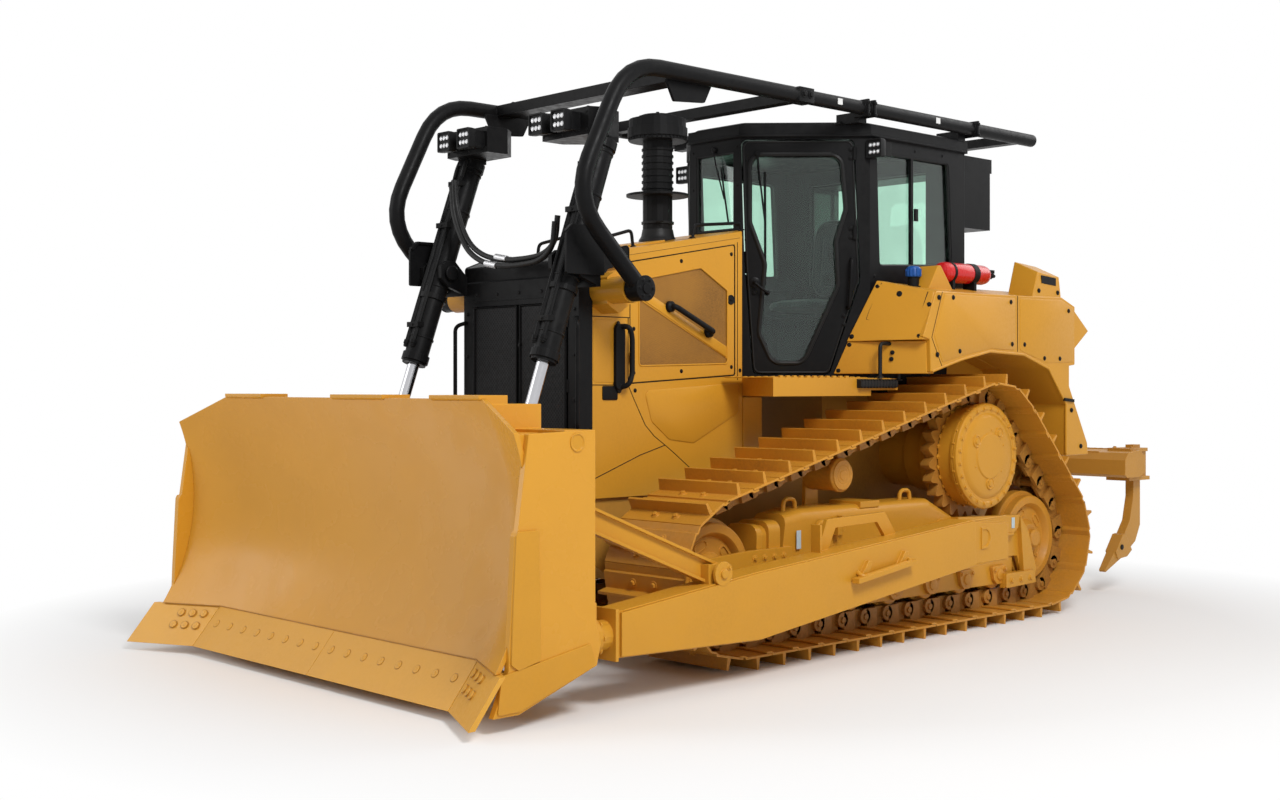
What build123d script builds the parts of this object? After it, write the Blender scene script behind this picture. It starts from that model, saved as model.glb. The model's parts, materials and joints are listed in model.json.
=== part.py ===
from build123d import *
import math
import os

# Crawler bulldozer with raised rear sprockets, semi-U blade, angled-door cab, guard tubes and ripper.
# Millimetres. X to the machine's left, Y to its rear, Z up from the ground under the grouser tips.
# Stations are measured rearwards from the blade's leading tips; Y is the station less half the length.

os.makedirs("parts", exist_ok=True)

# ---- driving dimensions ----
LENGTH = 6840.0                 # blade tips to the rear of the ripper beam
GROUND_GAP = 50.0               # blade tips above the ground, as parked

# tracks
TRACK_IN, TRACK_OUT = 690.0, 1300.0        # inner and outer ends of the shoes, from the centre line
TRACK_MID = (TRACK_IN + TRACK_OUT) / 2
PITCH = 211.0                              # nominal shoe pitch
PITCH_TO_PLATE, PLATE = 68.0, 12.0         # pitch line to the shoe plate, plate thickness
GROUSER, GROUSER_W = 65.0, 22.0
LINK_DOWN = 50.0                           # link below the pitch line
FRONT_IDLER = (2050.0, 500.0, 355.0)       # station, height, pitch radius
REAR_IDLER = (5130.0, 500.0, 355.0)
SPROCKET = (4500.0, 1075.0, 400.0)
LINK_ROWS = ((895.0, 945.0), (1045.0, 1095.0))   # inner and outer widths of the two link rows
ROLLER_R, ROLLER_Z = 95.0, 293.0
ROLLER_STATIONS = [2490.0 + 365.0 * i for i in range(7)]
FRAME_IN, FRAME_OUT = 870.0, 1120.0        # roller frame's beam
CHEEK_T = 25.0                             # fork plates on its sides

# blade and its arms
BLADE_HALF, WING_END, EDGE_TIP = 1200.0, 1570.0, 1630.0
WING_SLOPE = 199.0 / 415.0                 # forward set of the wings, per width
MOULD_FRONT = ((370.0, 262.0), (552.0, 934.0), (400.0, 1465.0))
MOULD_T = 30.0
ARM_IN, ARM_OUT = 1400.0, 1550.0
ARM_FRONT, ARM_REAR = 930.0, 4185.0
TRUNNION = (4095.0, 605.0)                 # arms' pivot on the track frames
LIFT_X = 592.0
LIFT_PIVOT = (1467.0, 2190.0)              # lift cylinder's trunnion
LIFT_EYE = (988.0, 830.0)                  # rod eye on the blade's back
BARREL_R, ROD_R = 70.0, 35.0
LIFT_PIN_R, LIFT_BORE_R = 30.0, 44.0       # blade's pin and the rod eye around it
BARREL_UP, BARREL_DOWN = 720.0, 570.0      # barrel's ends, from its trunnion

# working lamps: size, depth, and their widths from the centre line
LAMP, LAMP_DEEP = 100.0, 60.0
LAMP_WIDTHS = (330.0, 520.0)

# engine enclosure
HOOD_HALF = 500.0
GRILLE_FACE = 1590.0
HOOD_REAR = 2920.0
HOOD_TOP = ((1690.0, 2180.0), (1970.0, 2300.0), (3200.0, 2510.0))
FRAME_HALF = 475.0               # main frame, which the side panels cover
PANEL_T = 25.0

# cab: windscreen, angled door wall, side wall
CAB_NOSE = (220.0, 3200.0)
CAB_CORNER = (800.0, 3780.0)
CAB_REAR = 4800.0
CAB_BASE, CAB_FLOOR, CAB_EAVES, CAB_TOP = 1465.0, 1585.0, 3095.0, 3175.0
DECK_TOP = 1575.0
WALL = 60.0
DOOR_GAP = 8.0
DOOR_OUTLINE = ((15, 3075), (715, 3075), (752, 2195), (560, 1605), (88, 1605), (38, 2300))
DOOR_WINDOW = ((62, 2990), (640, 2990), (668, 2640), (606, 2440), (620, 2160), (400, 1670),
               (205, 1670), (118, 1860), (158, 2300), (62, 2560))
WINDSCREEN = (-165, 165, 2520, 3010)       # widths and heights
REAR_WINDOW = (-520, 520, 2250, 2990)
SIDE_WINDOW = ((3880, 2290), (3850, 3010), (4620, 3010), (4660, 2330))     # station and height

# fenders and tank, and the arch over the sprocket: station and height from front to rear
FENDER_IN, FENDER_OUT = 800.0, 1200.0
WELL_IN = 655.0                            # inner wall of the space over the tracks
ARCH = ((3884, 1612), (4200, 1690), (4508, 1745), (4900, 1730), (5200, 1640), (5420, 1400), (5420, 1050))

# flats of the round pieces that repeat or whose roundness carries nothing
FINE, PLAIN, SMALL = 28, 16, 8

# guard tubes and intake
SWEEP_X, SWEEP_R = 850.0, 38.0
SWEEP_FOOT = (1740.0, 2050.0)
STACK, STACK_R = 2690.0, 92.0

# ripper
BEAM_HALF = 1080.0
LOW_PIN, LOW_PIN_BEAM = (5800.0, 560.0), (6500.0, 750.0)
HIGH_PIN, HIGH_PIN_BEAM = (5800.0, 960.0), (6500.0, 1150.0)
RAM_PIN, RAM_EYE = (5800.0, 680.0), (6380.0, 1110.0)
RAM_X, RAM_R, RAM_ROD_R = 205.0, 55.0, 27.0
PLATE_PAIRS = ((110, 140), (270, 300), (390, 420))   # inner and outer widths of the linkage's plates
PIN_R = 30.0
SHANKS = (-950.0, 0.0, 950.0)
SHANK_T = 64.0
TOP = 3306.0

# tow eyes: bore's radius and height, lug's half width, stations of the front and rear bores
TOW_R, TOW_T, TOW_HALF = 30.0, 60.0, 75.0
FRONT_TOW, REAR_TOW = (1600.0, 590.0), (5945.0, 495.0)


# ---- shape helpers ----
def outline(points, radius=0.0):
    """Closed 2-D face through the points, with its corners rounded."""
    face = Polygon(*points, align=None)
    if radius:
        face = fillet(face.vertices(), radius)
    return face


def side(points, x0, x1, radius=0.0):
    """Solid of a side-view outline (station, height) between two widths."""
    return extrude(Plane.YZ.offset(x0) * outline(points, radius), amount=x1 - x0, dir=(1, 0, 0))


def plan(points, z0, z1, radius=0.0):
    """Solid of a plan outline (width, station) between two heights."""
    return extrude(Plane.XY.offset(z0) * outline(points, radius), amount=z1 - z0, dir=(0, 0, 1))


def block(x0, x1, s0, s1, z0, z1):
    return Pos((x0 + x1) / 2, (s0 + s1) / 2, (z0 + z1) / 2) * Box(x1 - x0, s1 - s0, z1 - z0)


def disc(station, z, radius, x0, x1):
    """Cylinder lying across the machine."""
    return Pos((x0 + x1) / 2, station, z) * Rot(0, 90, 0) * Cylinder(radius, x1 - x0)


def wheel(station, z, radius, x0, x1, flats=PLAIN):
    """Round piece across the machine, its curve in flats."""
    face = Plane.YZ.offset(x0) * Pos(station, z) * RegularPolygon(radius, flats)
    return extrude(face, amount=x1 - x0, dir=(1, 0, 0))


def post(x, station, radius, z0, z1, flats=PLAIN):
    """Upright round piece, its curve in flats."""
    return extrude(Plane.XY.offset(z0) * Pos(x, station) * RegularPolygon(radius, flats), amount=z1 - z0)


def section(at, heading, radius, flats):
    """Cross-section of a bar at a point, round or in flats."""
    sideways = (1, 0, 0) if abs(heading.X) < 0.9 * heading.length else (0, 1, 0)
    face = RegularPolygon(radius, flats) if flats else Circle(radius)
    return Plane(origin=at, x_dir=sideways, z_dir=heading) * face


def rod(p, q, radius, flats=0):
    """Round bar between two points."""
    direction = Vector(*q) - Vector(*p)
    return extrude(section(p, direction, radius, flats), amount=direction.length)


def bar(p, q, wide, deep, up=(0, 0, 1)):
    """Flat bar between two points, `deep` along `up`."""
    direction = Vector(*q) - Vector(*p)
    across = direction.cross(Vector(*up))
    return extrude(Plane(origin=p, x_dir=across, z_dir=direction) * Rectangle(wide, deep),
                   amount=direction.length)


def tube(points, radius, bend, flats=SMALL):
    """Bent bar through the points: straight runs joined by revolved bends."""
    corners = [Vector(*p) for p in points]
    pieces, start = [], corners[0]
    for before, corner, after in zip(corners, corners[1:], corners[2:]):
        back, ahead = (before - corner).normalized(), (after - corner).normalized()
        half = math.radians(back.get_angle(ahead)) / 2
        reach = bend / math.tan(half)
        p, q = corner + back * reach, corner + ahead * reach
        centre = corner + (back + ahead).normalized() * (bend / math.sin(half))
        turn = Axis(centre, ahead.cross(back))
        pieces.append(rod(tuple(start), tuple(p), radius, flats))
        pieces.append(revolve(section(tuple(p), back, radius, flats), axis=turn,
                              revolution_arc=180 - 2 * math.degrees(half)))
        start = q
    pieces.append(rod(tuple(start), tuple(corners[-1]), radius, flats))
    return Part() + pieces


def right_of(shape):
    return mirror(shape, about=Plane.YZ)


def mirrored_pairs(spans):
    """Width spans on the left, with their mirror images."""
    return list(spans) + [(-x1, -x0) for x0, x1 in spans]


def group(*shapes):
    """Solids that share a node without touching."""
    solids = [s for shape in shapes for s in shape.solids()]
    return Compound(children=[Solid(s.wrapped) for s in solids])


def write(name, shape):
    export_step(Pos(0, -LENGTH / 2, 0) * shape, f"parts/{name}.step")


# ---- track path ----
def tangent_point(a, b, turn):
    """Outer tangent of two wheels: its points on a and b."""
    dy, dz = b[0] - a[0], b[1] - a[1]
    span = math.hypot(dy, dz)
    angle = math.atan2(dz, dy) + turn * math.acos((a[2] - b[2]) / span)
    ny, nz = math.cos(angle), math.sin(angle)
    return (a[0] + a[2] * ny, a[1] + a[2] * nz), (b[0] + b[2] * ny, b[1] + b[2] * nz)


def track_stretches():
    """Pitch line as straight runs and arcs, clockwise seen from the left: length and point at each."""
    wheels = (FRONT_IDLER, SPROCKET, REAR_IDLER)
    runs = [tangent_point(a, b, 1) for a, b in zip(wheels, wheels[1:] + wheels[:1])]
    pieces = []
    for i, (start, end) in enumerate(runs):
        length = math.dist(start, end)
        heading = math.atan2(end[1] - start[1], end[0] - start[0])
        pieces.append((length, start, heading, None))
        wheel = wheels[(i + 1) % 3]
        nxt = runs[(i + 1) % 3]
        after = math.atan2(nxt[1][1] - nxt[0][1], nxt[1][0] - nxt[0][0])
        turn = (heading - after) % (2 * math.pi)
        pieces.append((turn * wheel[2], end, heading, wheel))
    return pieces


STRETCHES = track_stretches()
TRACK_LENGTH = sum(piece[0] for piece in STRETCHES)
SHOES = round(TRACK_LENGTH / PITCH)
SHOE_PITCH = TRACK_LENGTH / SHOES


def on_track(distance):
    """Point of the pitch line and its heading at a distance along it."""
    distance %= TRACK_LENGTH
    for length, start, heading, wheel in STRETCHES:
        if distance <= length:
            break
        distance -= length
    if wheel is None:
        return start[0] + distance * math.cos(heading), start[1] + distance * math.sin(heading), heading
    heading -= distance / wheel[2]
    return (wheel[0] - wheel[2] * math.sin(heading), wheel[1] + wheel[2] * math.cos(heading), heading)


def shoe_frame(i):
    """Chord of shoe i: its middle and heading."""
    y0, z0, _ = on_track(i * SHOE_PITCH)
    y1, z1, _ = on_track((i + 1) * SHOE_PITCH)
    return (y0 + y1) / 2, (z0 + z1) / 2, math.atan2(z1 - z0, y1 - y0)


def shoe_point(i, along, out):
    """Side-view point at a place in shoe i's own axes."""
    y, z, heading = shoe_frame(i)
    return (y + along * math.cos(heading) - out * math.sin(heading),
            z + along * math.sin(heading) + out * math.cos(heading))


def joint_point(i, out):
    """Side-view point above the pin between shoes i-1 and i."""
    y, z, heading = on_track(i * SHOE_PITCH)
    return y - out * math.sin(heading), z + out * math.cos(heading)


def track_loop():
    """One closed loop: shoe plates with grousers, carried by two rows of links."""
    plate_in, plate_out = PITCH_TO_PLATE, PITCH_TO_PLATE + PLATE
    half = GROUSER_W / 2
    outer, inner, rail = [], [], []
    for i in range(SHOES):
        outer += [joint_point(i, plate_out)]
        outer += [shoe_point(i, -half, plate_out), shoe_point(i, -half * 0.6, plate_out + GROUSER),
                  shoe_point(i, half * 0.6, plate_out + GROUSER), shoe_point(i, half, plate_out)]
        inner += [joint_point(i, plate_in)]
        rail += [joint_point(i, -LINK_DOWN)]
    plates = side(outer, TRACK_IN, TRACK_OUT) - side(inner, TRACK_IN - 1, TRACK_OUT + 1)
    loop = plates
    for x0, x1 in LINK_ROWS:
        loop += side(inner, x0, x1) - side(rail, x0 - 1, x1 + 1)
    return loop


def carrier_place():
    """Carrier roller's centre, just under the upper run's links."""
    start, end = tangent_point(FRONT_IDLER, SPROCKET, 1)
    heading = math.atan2(end[1] - start[1], end[0] - start[0])
    drop = LINK_DOWN + 97
    share = (3080.0 - start[0]) / (end[0] - start[0])
    return (3080.0 + drop * math.sin(heading),
            start[1] + share * (end[1] - start[1]) - drop * math.cos(heading))


CARRIER = carrier_place()


# ---- undercarriage ----
def sprocket_and_drive():
    """Toothed rim between the link rows, on the final drive's drum and cover with three plug bosses."""
    y, z, pitch_r = SPROCKET
    teeth, root, tip = 25, pitch_r - 42, pitch_r + 22
    points = []
    for i in range(teeth):
        for share, radius in ((-0.3, root), (-0.12, tip), (0.12, tip), (0.3, root)):
            a = 2 * math.pi * (i + share) / teeth
            points.append((y + radius * math.cos(a), z + radius * math.sin(a)))
    drive = side(points, 955, 1035)
    # drum, rim of the cover, its raised middle, hub and axle case: radius, inner and outer widths
    for radius, x0, x1 in ((300, 860, 1130), (338, 1130, 1186), (268, 1186, 1200), (150, 1200, 1212),
                           (230, FRAME_HALF, 860)):
        drive += wheel(y, z, radius, x0, x1, FINE)
    for degrees in (54, 146, 270):
        a = math.radians(degrees)
        drive += wheel(y + 200 * math.cos(a), z + 200 * math.sin(a), 42, 1199, 1212, SMALL)
    return drive


def idler(y, z, pitch_r):
    """Wheel with two treads, a middle flange, dished faces and its hub."""
    tread = pitch_r * 0.8
    body = wheel(y, z, tread, 890, 1100, FINE) + wheel(y, z, tread + 30, 957, 1033, FINE)
    for x0, x1 in ((889, 930), (1060, 1101)):
        body -= wheel(y, z, tread - 60, x0, x1, FINE)
    return body + wheel(y, z, 90, 886, 1104) + wheel(y, z, 60, FRAME_IN, FRAME_OUT)


def roller(y, z=ROLLER_Z):
    """Roller with its two flanges, on a shaft that ends at the guard plates."""
    body = wheel(y, z, ROLLER_R, 890, 1100)
    for x0, x1 in ((953, 975), (1015, 1037)):
        body += wheel(y, z, ROLLER_R + 18, x0, x1)
    return body + wheel(y, z, 50, 884, 1106, SMALL)


def carrier_roller():
    """Small roller under the upper run, with its outer cap."""
    y, z = CARRIER
    return wheel(y, z, 94, 890, 1112) + wheel(y, z, 86, 1112, 1130) + wheel(y, z, 40, 884, 890, SMALL)


def running_wheels():
    return group(idler(*FRONT_IDLER), idler(*REAR_IDLER), carrier_roller(),
                 *[roller(y) for y in ROLLER_STATIONS])


def track_frame():
    """Roller frame: box beam, arched cover, recoil housing, fork plates, guards and the arm's trunnion."""
    beam = side(((2560, 430), (2620, 800), (2760, 822), (3980, 822), (4330, 660), (4700, 560), (4700, 430)),
                FRAME_IN, FRAME_OUT)
    top_edges = [e for e in beam.edges() if e.center().Z > 700 and abs(e.tangent_at(0.5).Y) > 0.9]
    frame = fillet(top_edges, 60)
    frame += block(FRAME_IN, FRAME_OUT, 2560, 4700, 415, 470) + block(FRAME_IN + 5, FRAME_OUT - 5, 3290,
                                                                      3470, 800, 838)
    # recoil housing: front and rear stations, width and height of each length
    for s0, s1, wide, high in ((2380, 2420, 236, 300), (2420, 2475, 206, 280), (2475, 2570, 246, 330)):
        frame += Pos(TRACK_MID, (s0 + s1) / 2, 605) * Rot(90, 0, 0) * extrude(
            fillet(Rectangle(wide, high).vertices(), 60), amount=(s1 - s0) / 2, both=True)
    for x0, x1 in ((FRAME_IN - CHEEK_T, FRAME_IN), (FRAME_OUT, FRAME_OUT + CHEEK_T)):
        frame += side(((1950, 400), (1950, 600), (2300, 620), (2640, 620), (2640, 415), (2300, 400)), x0,
                      x1)
        frame += side(((4600, 415), (4600, 600), (5000, 600), (5085, 400), (5085, 260), (4960, 260),
                       (4900, 400)),
                      x0, x1)
    for x0, x1 in ((858, 884), (1106, 1132)):
        frame += block(x0, x1, 2300, 4860, 230, 430)
    y, z = CARRIER
    frame += side(((y - 60, 790), (y - 50, z + 50), (y + 50, z + 50), (y + 60, 790)), 858, 884)
    for station in (2745, 3830):
        frame += tube([(1030, station - 55, 800), (1030, station - 45, 878), (1030, station + 45, 878),
                       (1030, station + 55, 800)], 13, 35)
    frame += tail_guard()
    return frame + disc(*TRUNNION, 85, FRAME_OUT, 1395) + disc(*TRUNNION, 60, 1395, ARM_OUT - 1)


def tail_guard():
    """Outer guard behind the arm: long cheek with a boss, a lower step and a bolted toe."""
    x0, x1 = FRAME_OUT + CHEEK_T, FRAME_OUT + CHEEK_T + 30
    cheek = side(((4195, 695), (4890, 672), (4870, 590), (4790, 540), (4195, 500)), FRAME_OUT, x1)
    cheek -= wheel(4400, 600, 42, x1 - 12, x1 + 1)
    lower = side(((4195, 500), (4790, 540), (4750, 425), (4195, 405)), FRAME_OUT, x0 + 14)
    brace = side(((4890, 665), (4985, 560), (5080, 300), (5030, 215), (4700, 205), (4700, 300),
                  (4930, 300)),
                 x0, x1 + 5)
    return cheek + lower + brace


def cross_shafts():
    """Pivot shaft and equalizer bar ends, which tie the track frames to the main frame."""
    pivot = disc(*TRUNNION, 105, FRAME_HALF, 870)
    equalizer = block(FRAME_HALF, 870, 2640, 2780, 520, 640)
    left = pivot + equalizer
    return group(left, right_of(left))


# ---- main frame and engine ----
def tow_lug(place, root):
    """Flat lug with a round end and an upright bore, from its root station."""
    station, z0 = place
    lug = block(-TOW_HALF, TOW_HALF, min(station, root), max(station, root), z0, z0 + TOW_T)
    lug += Pos(0, station, z0 + TOW_T / 2) * Cylinder(TOW_HALF, TOW_T)
    return lug - Pos(0, station, z0 + TOW_T / 2) * Cylinder(TOW_R, TOW_T + 2)


def main_frame():
    """Belly case with a sloping guard under the nose, and the bevel-gear case behind."""
    rails = side(((1690, 560), (1690, 940), (1800, 1000), (5700, 1000), (5700, 520), (5500, 450),
                  (1900, 430)),
                 -FRAME_HALF, FRAME_HALF)
    case = side(((3700, 1000), (3700, CAB_BASE), (5700, CAB_BASE), (5700, 1000)), -FRAME_HALF, FRAME_HALF)
    return rails + case + tow_lug(FRONT_TOW, 1700)


def engine():
    return block(-330, 330, 1900, 2850, 1000, 1950)


def radiator_guard():
    """Upright housing before the radiator: plain upper panel over a two-door grille of level bars."""
    front, back = GRILLE_FACE, GRILLE_FACE + 100
    guard = side(((front, 700), (front, 2130), (front + 30, 2160), (back, 2175), (back, 700)), -520, 520)
    guard -= block(-430, 430, front - 10, front + 60, 1060, 1990)
    for x0, x1 in ((-425, -10), (10, 425)):
        leaf = block(x0, x1, front + 8, front + 30, 1065, 1985) - block(x0 + 35, x1 - 35, front,
                front + 60, 1110, 1940)
        guard += leaf
        for z in range(1135, 1930, 48):
            guard += block(x0 + 30, x1 - 30, front + 12, front + 26, z, z + 12)
    guard += block(-430, 430, front + 29, front + 61, 1040, 1066) + block(-430, 430, front + 29,
            front + 61, 1984, 2000)
    guard += block(-12, 12, front + 10, front + 61, 1060, 1990)
    for x in (-425, 413):
        guard += block(x, x + 12, front + 20, front + 61, 1060, 1990)
    return guard


# ---- hood ----
def hood_solid(inset):
    """Enclosure's outer form, moved in on every side but the front."""
    half, nose = HOOD_HALF - inset, CAB_NOSE[0] - inset * 0.42
    body = plan(((-half, 1690), (half, 1690), (half, HOOD_REAR - inset * 0.42), (nose, CAB_NOSE[1] - inset),
                 (-nose, CAB_NOSE[1] - inset), (-half, HOOD_REAR - inset * 0.42)), 900, 2600)
    top = [(s, z - inset) for s, z in HOOD_TOP]
    top[0] = (1690 - 1, top[0][1])
    profile = [(1689, 899)] + top + [(3300, top[-1][1] + 17), (3300, 899)]
    return body & side(profile, -600, 600)


def hood():
    """Sloping top and side walls, with the side doors' openings and a hole for the intake pipe."""
    shell = hood_solid(0)
    long_edges = [e for e in shell.edges() if abs(e.center().X) > HOOD_HALF - 1 and e.center().Z > 2200
                  and abs(e.tangent_at(0.5).Y) > 0.9]
    shell = chamfer(long_edges, 35)
    shell -= hood_solid(PANEL_T) + block(-450, 450, 1680, 1720, 880, 2150)
    shell -= block(-FRAME_HALF, FRAME_HALF, 1600, 3300, 800, 1000)
    for x0, x1 in ((-540, -460), (460, 540)):
        shell -= side(engine_door_outline(6), x0, x1)
    shell -= post(0, STACK, STACK_R, 2350, 2550)
    return shell


def engine_door_outline(gap):
    """Upper side door: station and height, grown by a gap."""
    return ((1995 - gap, 1545 - gap), (1995 - gap, 2225 + gap), (2850 + gap, 2375 + gap),
            (2850 + gap, 1595 - gap))


def engine_door():
    """Side door with a recessed grid panel crossed by a slanting rib that carries the handle."""
    panel = side(engine_door_outline(0), HOOD_HALF - PANEL_T, HOOD_HALF, 15)
    recess = side(((2060, 1640), (2060, 2130), (2560, 2225), (2790, 2100), (2790, 1660)), HOOD_HALF - 8,
                  HOOD_HALF + 1, 20)
    rib = side(((2060, 2020), (2060, 2090), (2790, 1760), (2790, 1690)), HOOD_HALF - 9, HOOD_HALF)
    handle = tube([(HOOD_HALF - 5, 2300, 1985), (HOOD_HALF + 55, 2300, 1985), (HOOD_HALF + 55, 2620, 1845),
                   (HOOD_HALF - 5, 2620, 1845)], 14, 30)
    knuckles = [post(HOOD_HALF + 8, 1990, 8, z, z + 60, SMALL) for z in (1650, 2080)]
    return group(panel - recess + rib + handle + knuckles)


# ---- cab ----
def door_plane():
    return Plane(origin=(CAB_NOSE[0], CAB_NOSE[1], 0), x_dir=(1, 1, 0), z_dir=(1, -1, 0))


def cab_plan(inset):
    """Six-sided plan, moved in by the inset."""
    k = inset * (math.sqrt(2) - 1)
    nose, corner = CAB_NOSE, CAB_CORNER
    left = [(nose[0] - k, nose[1] + inset), (corner[0] - inset, corner[1] + k),
            (corner[0] - inset, CAB_REAR - inset)]
    return left + [(-x, y) for x, y in reversed(left)]


def cab_shell():
    """Posts, sills and roof with window and door openings cut through."""
    shell = plan(cab_plan(0), CAB_BASE, CAB_EAVES)
    room = plan(cab_plan(WALL), CAB_FLOOR, CAB_EAVES + 1)
    for x0, x1 in ((-900, -WELL_IN), (WELL_IN, 900)):
        shell -= side(((3560, 1400), (3560, 1540), (3884, 1612)) + ARCH[1:4] + ((4900, 1400),), x0, x1)
    for x0, x1 in ((-900, -WELL_IN + WALL), (WELL_IN - WALL, 900)):
        room -= block(x0, x1, 3480, 4900, 1500, 1745 + WALL)
    shell -= room
    shell += plan(cab_plan(-15), CAB_EAVES, CAB_TOP)
    x0, x1, z0, z1 = WINDSCREEN
    shell -= block(x0, x1, CAB_NOSE[1] - 30, CAB_NOSE[1] + 100, z0, z1)
    x0, x1, z0, z1 = REAR_WINDOW
    shell -= block(x0, x1, CAB_REAR - 100, CAB_REAR + 30, z0, z1)
    cut = side(SIDE_WINDOW, 700, 840, 30)
    door_hole = extrude(door_plane() * offset(outline(DOOR_OUTLINE, 30), DOOR_GAP), amount=100, both=True)
    return shell - cut - right_of(cut) - door_hole - right_of(door_hole)


def cab_glass():
    """Fixed panes, each filling its opening."""
    x0, x1, z0, z1 = WINDSCREEN
    front = block(x0, x1, CAB_NOSE[1] + 20, CAB_NOSE[1] + 28, z0, z1)
    x0, x1, z0, z1 = REAR_WINDOW
    rear = block(x0, x1, CAB_REAR - 30, CAB_REAR - 22, z0, z1)
    pane = side(SIDE_WINDOW, 765, 773, 30)
    return group(front, rear, pane, right_of(pane))


def cab_door():
    frame = extrude(door_plane() * outline(DOOR_OUTLINE, 30), amount=WALL - 10, dir=(-1, 1, 0))
    hole = extrude(door_plane() * outline(DOOR_WINDOW, 25), amount=80, both=True)
    return frame - hole


def door_glass():
    return extrude(door_plane().offset(-30) * outline(DOOR_WINDOW, 25), amount=8, dir=(1, -1, 0))


def cab_fittings():
    """Corner lamps of the cab on their plates."""
    bar_x = CAB_CORNER[0]
    lamp_box = block(bar_x, bar_x + 20, 3820, 3900, 2985, 3055) + block(bar_x + 20, bar_x + 70, 3815, 3905,
                                                                       2975, 3065)
    return group(lamp_box, right_of(lamp_box))


def seat():
    cushion = block(-250, 250, 3900, 4400, 2000, 2120)
    back = side(((4330, 2120), (4420, 2700), (4520, 2700), (4470, 2120)), -230, 230, 15)
    pedestal = block(-180, 180, 3980, 4360, CAB_FLOOR, 2000)
    return cushion + back + pedestal


def console():
    """Dash post and the two arm rests."""
    dash = side(((3330, CAB_FLOOR), (3330, 2150), (3420, 2250), (3520, 2150), (3470, CAB_FLOOR)), -150, 150)
    rests = [block(x0, x1, 3950, 4300, 2190, 2260) + block(x0 + 40, x1 - 40, 4100, 4250, CAB_FLOOR, 2190)
             for x0, x1 in ((-420, -270), (270, 420))]
    return group(dash, *rests)


# ---- fenders, tank, deck ----
def fender():
    """Box over the track from the cab to the tail, arched over the sprocket, with the filler in front."""
    top = ((5870, 1050), (5870, 1170), (5765, 1883), (5100, 2342), (4829, 2342), (4790, 2120), (3930, 2113))
    body = side(ARCH + top, FENDER_IN, FENDER_OUT)
    # seams and recesses of the outer side: outline and depth
    front_seam = ((3980, 1640), (3990, 1640), (3990, 1850), (4060, 2114), (4050, 2114), (3980, 1852))
    rear_seam = ((5240, 1650), (5870, 1650), (5870, 1660), (5240, 1660))
    notch = ((5250, 2250), (5110, 2352), (5000, 2352), (5040, 2262))
    for shape, deep in ((front_seam, 6), (rear_seam, 6)):
        body -= side(shape, FENDER_OUT - deep, FENDER_OUT + 1)
    body -= side(notch, FENDER_OUT - 90, FENDER_OUT - 20)
    # raised panel on the front face, and the filler's saddle and cap on the top
    body += side(((3893, 1800), (3917, 2080), (3960, 2080), (3940, 1800)), FENDER_IN + 60, FENDER_OUT - 40)
    body += side(((4030, 2112), (4130, 2190), (4165, 2190), (4300, 2117)), FENDER_IN + 60, FENDER_OUT - 130)
    body += post(FENDER_IN + 165, 4098, 42, 2170, 2235)
    return body


def fuel_tank():
    """Tank behind the cab, from fender to fender, standing on the main frame's tail."""
    top = ((5300, 2110), (CAB_REAR, 2110))
    tank = side(((CAB_REAR, CAB_BASE), (5740, CAB_BASE), (5740, 1850)) + top, -WELL_IN, WELL_IN)
    for x0, x1 in ((-FENDER_IN, -WELL_IN), (WELL_IN, FENDER_IN)):
        tank += side(((CAB_REAR, 1745),) + ARCH[3:] + ((5740, 1050), (5740, 1850)) + top, x0, x1)
    return tank


def decks():
    """Running boards beside the doors with toothed outer edges."""
    nose, corner = CAB_NOSE, CAB_CORNER
    board = plan(((HOOD_HALF, HOOD_REAR), (950, 2700), (950, 3870), (corner[0], 3870), corner, nose),
                 CAB_BASE, DECK_TOP)
    board -= block(TRACK_IN - 20, 1000, 3600, 3900, CAB_BASE - 5, CAB_BASE + 35)
    teeth = [block(935, 950, s, s + 26, DECK_TOP, DECK_TOP + 12) for s in range(2760, 3380, 60)]
    left = board + teeth
    return group(left, right_of(left))


# ---- guard tubes ----
def guard_tubes():
    """Bent side tubes over the cab with their clevis joints and clamps, cross beams and round feet."""
    left = tube([(SWEEP_X, 1740, 2050), (SWEEP_X, 1330, 2490), (SWEEP_X, 1590, 3120), (SWEEP_X, 1790, 3268),
                 (SWEEP_X, 5534, 3268)], SWEEP_R, 110, PLAIN)
    left += wheel(*SWEEP_FOOT, 68, 790, 890, FINE)
    # clevis plates, box length behind them and the clamps' flanges: half width, stations, heights
    for half, s0, s1, z0, z1 in ((46, 3000, 3120, 3226, 3300), (42, 3120, 5420, 3222, 3304),
                                 (58, 3625, 3645, 3205, TOP),
                                 (58, 3690, 3710, 3205, TOP), (58, 4800, 4820, 3205, TOP)):
        left += block(SWEEP_X - half, SWEEP_X + half, s0, s1, z0, z1)
    # gusset under the front beam's end and the feet that stand on the cab's roof
    left += side(((2000, 3240), (2300, 3240), (2240, 3140), (2060, 3140)), SWEEP_X - 50, SWEEP_X - 34)
    inner = SWEEP_X - SWEEP_R + 6
    for s in (3640, 4700):
        left += block(640, inner, s, s + 80, CAB_TOP, 3240) + block(640, 700, s - 30, s + 110, CAB_TOP,
                                                                    CAB_TOP + 12)
    beams = block(-inner, inner, 2060, 2200, 3235, 3300) + block(-inner, inner, 3020, 3100, 3225, 3295)
    beams += block(-inner, inner, 5400, 5490, 3240, 3300)
    return left + right_of(left) + beams


def guard_mounts():
    """Round bosses on the enclosure's front corners, swelling out of the side panels."""
    left = wheel(*SWEEP_FOOT, 75, HOOD_HALF, 790, FINE)
    swell = side(((1692, 1975), (1692, 2120), (1740, 2150), (1880, 2090), (1880, 1990), (1780, 1925)),
                 HOOD_HALF, 640)
    left = left + swell - block(HOOD_HALF - 10, 522, 1600, 1692, 1900, 2200)
    return group(left, right_of(left))


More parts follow.
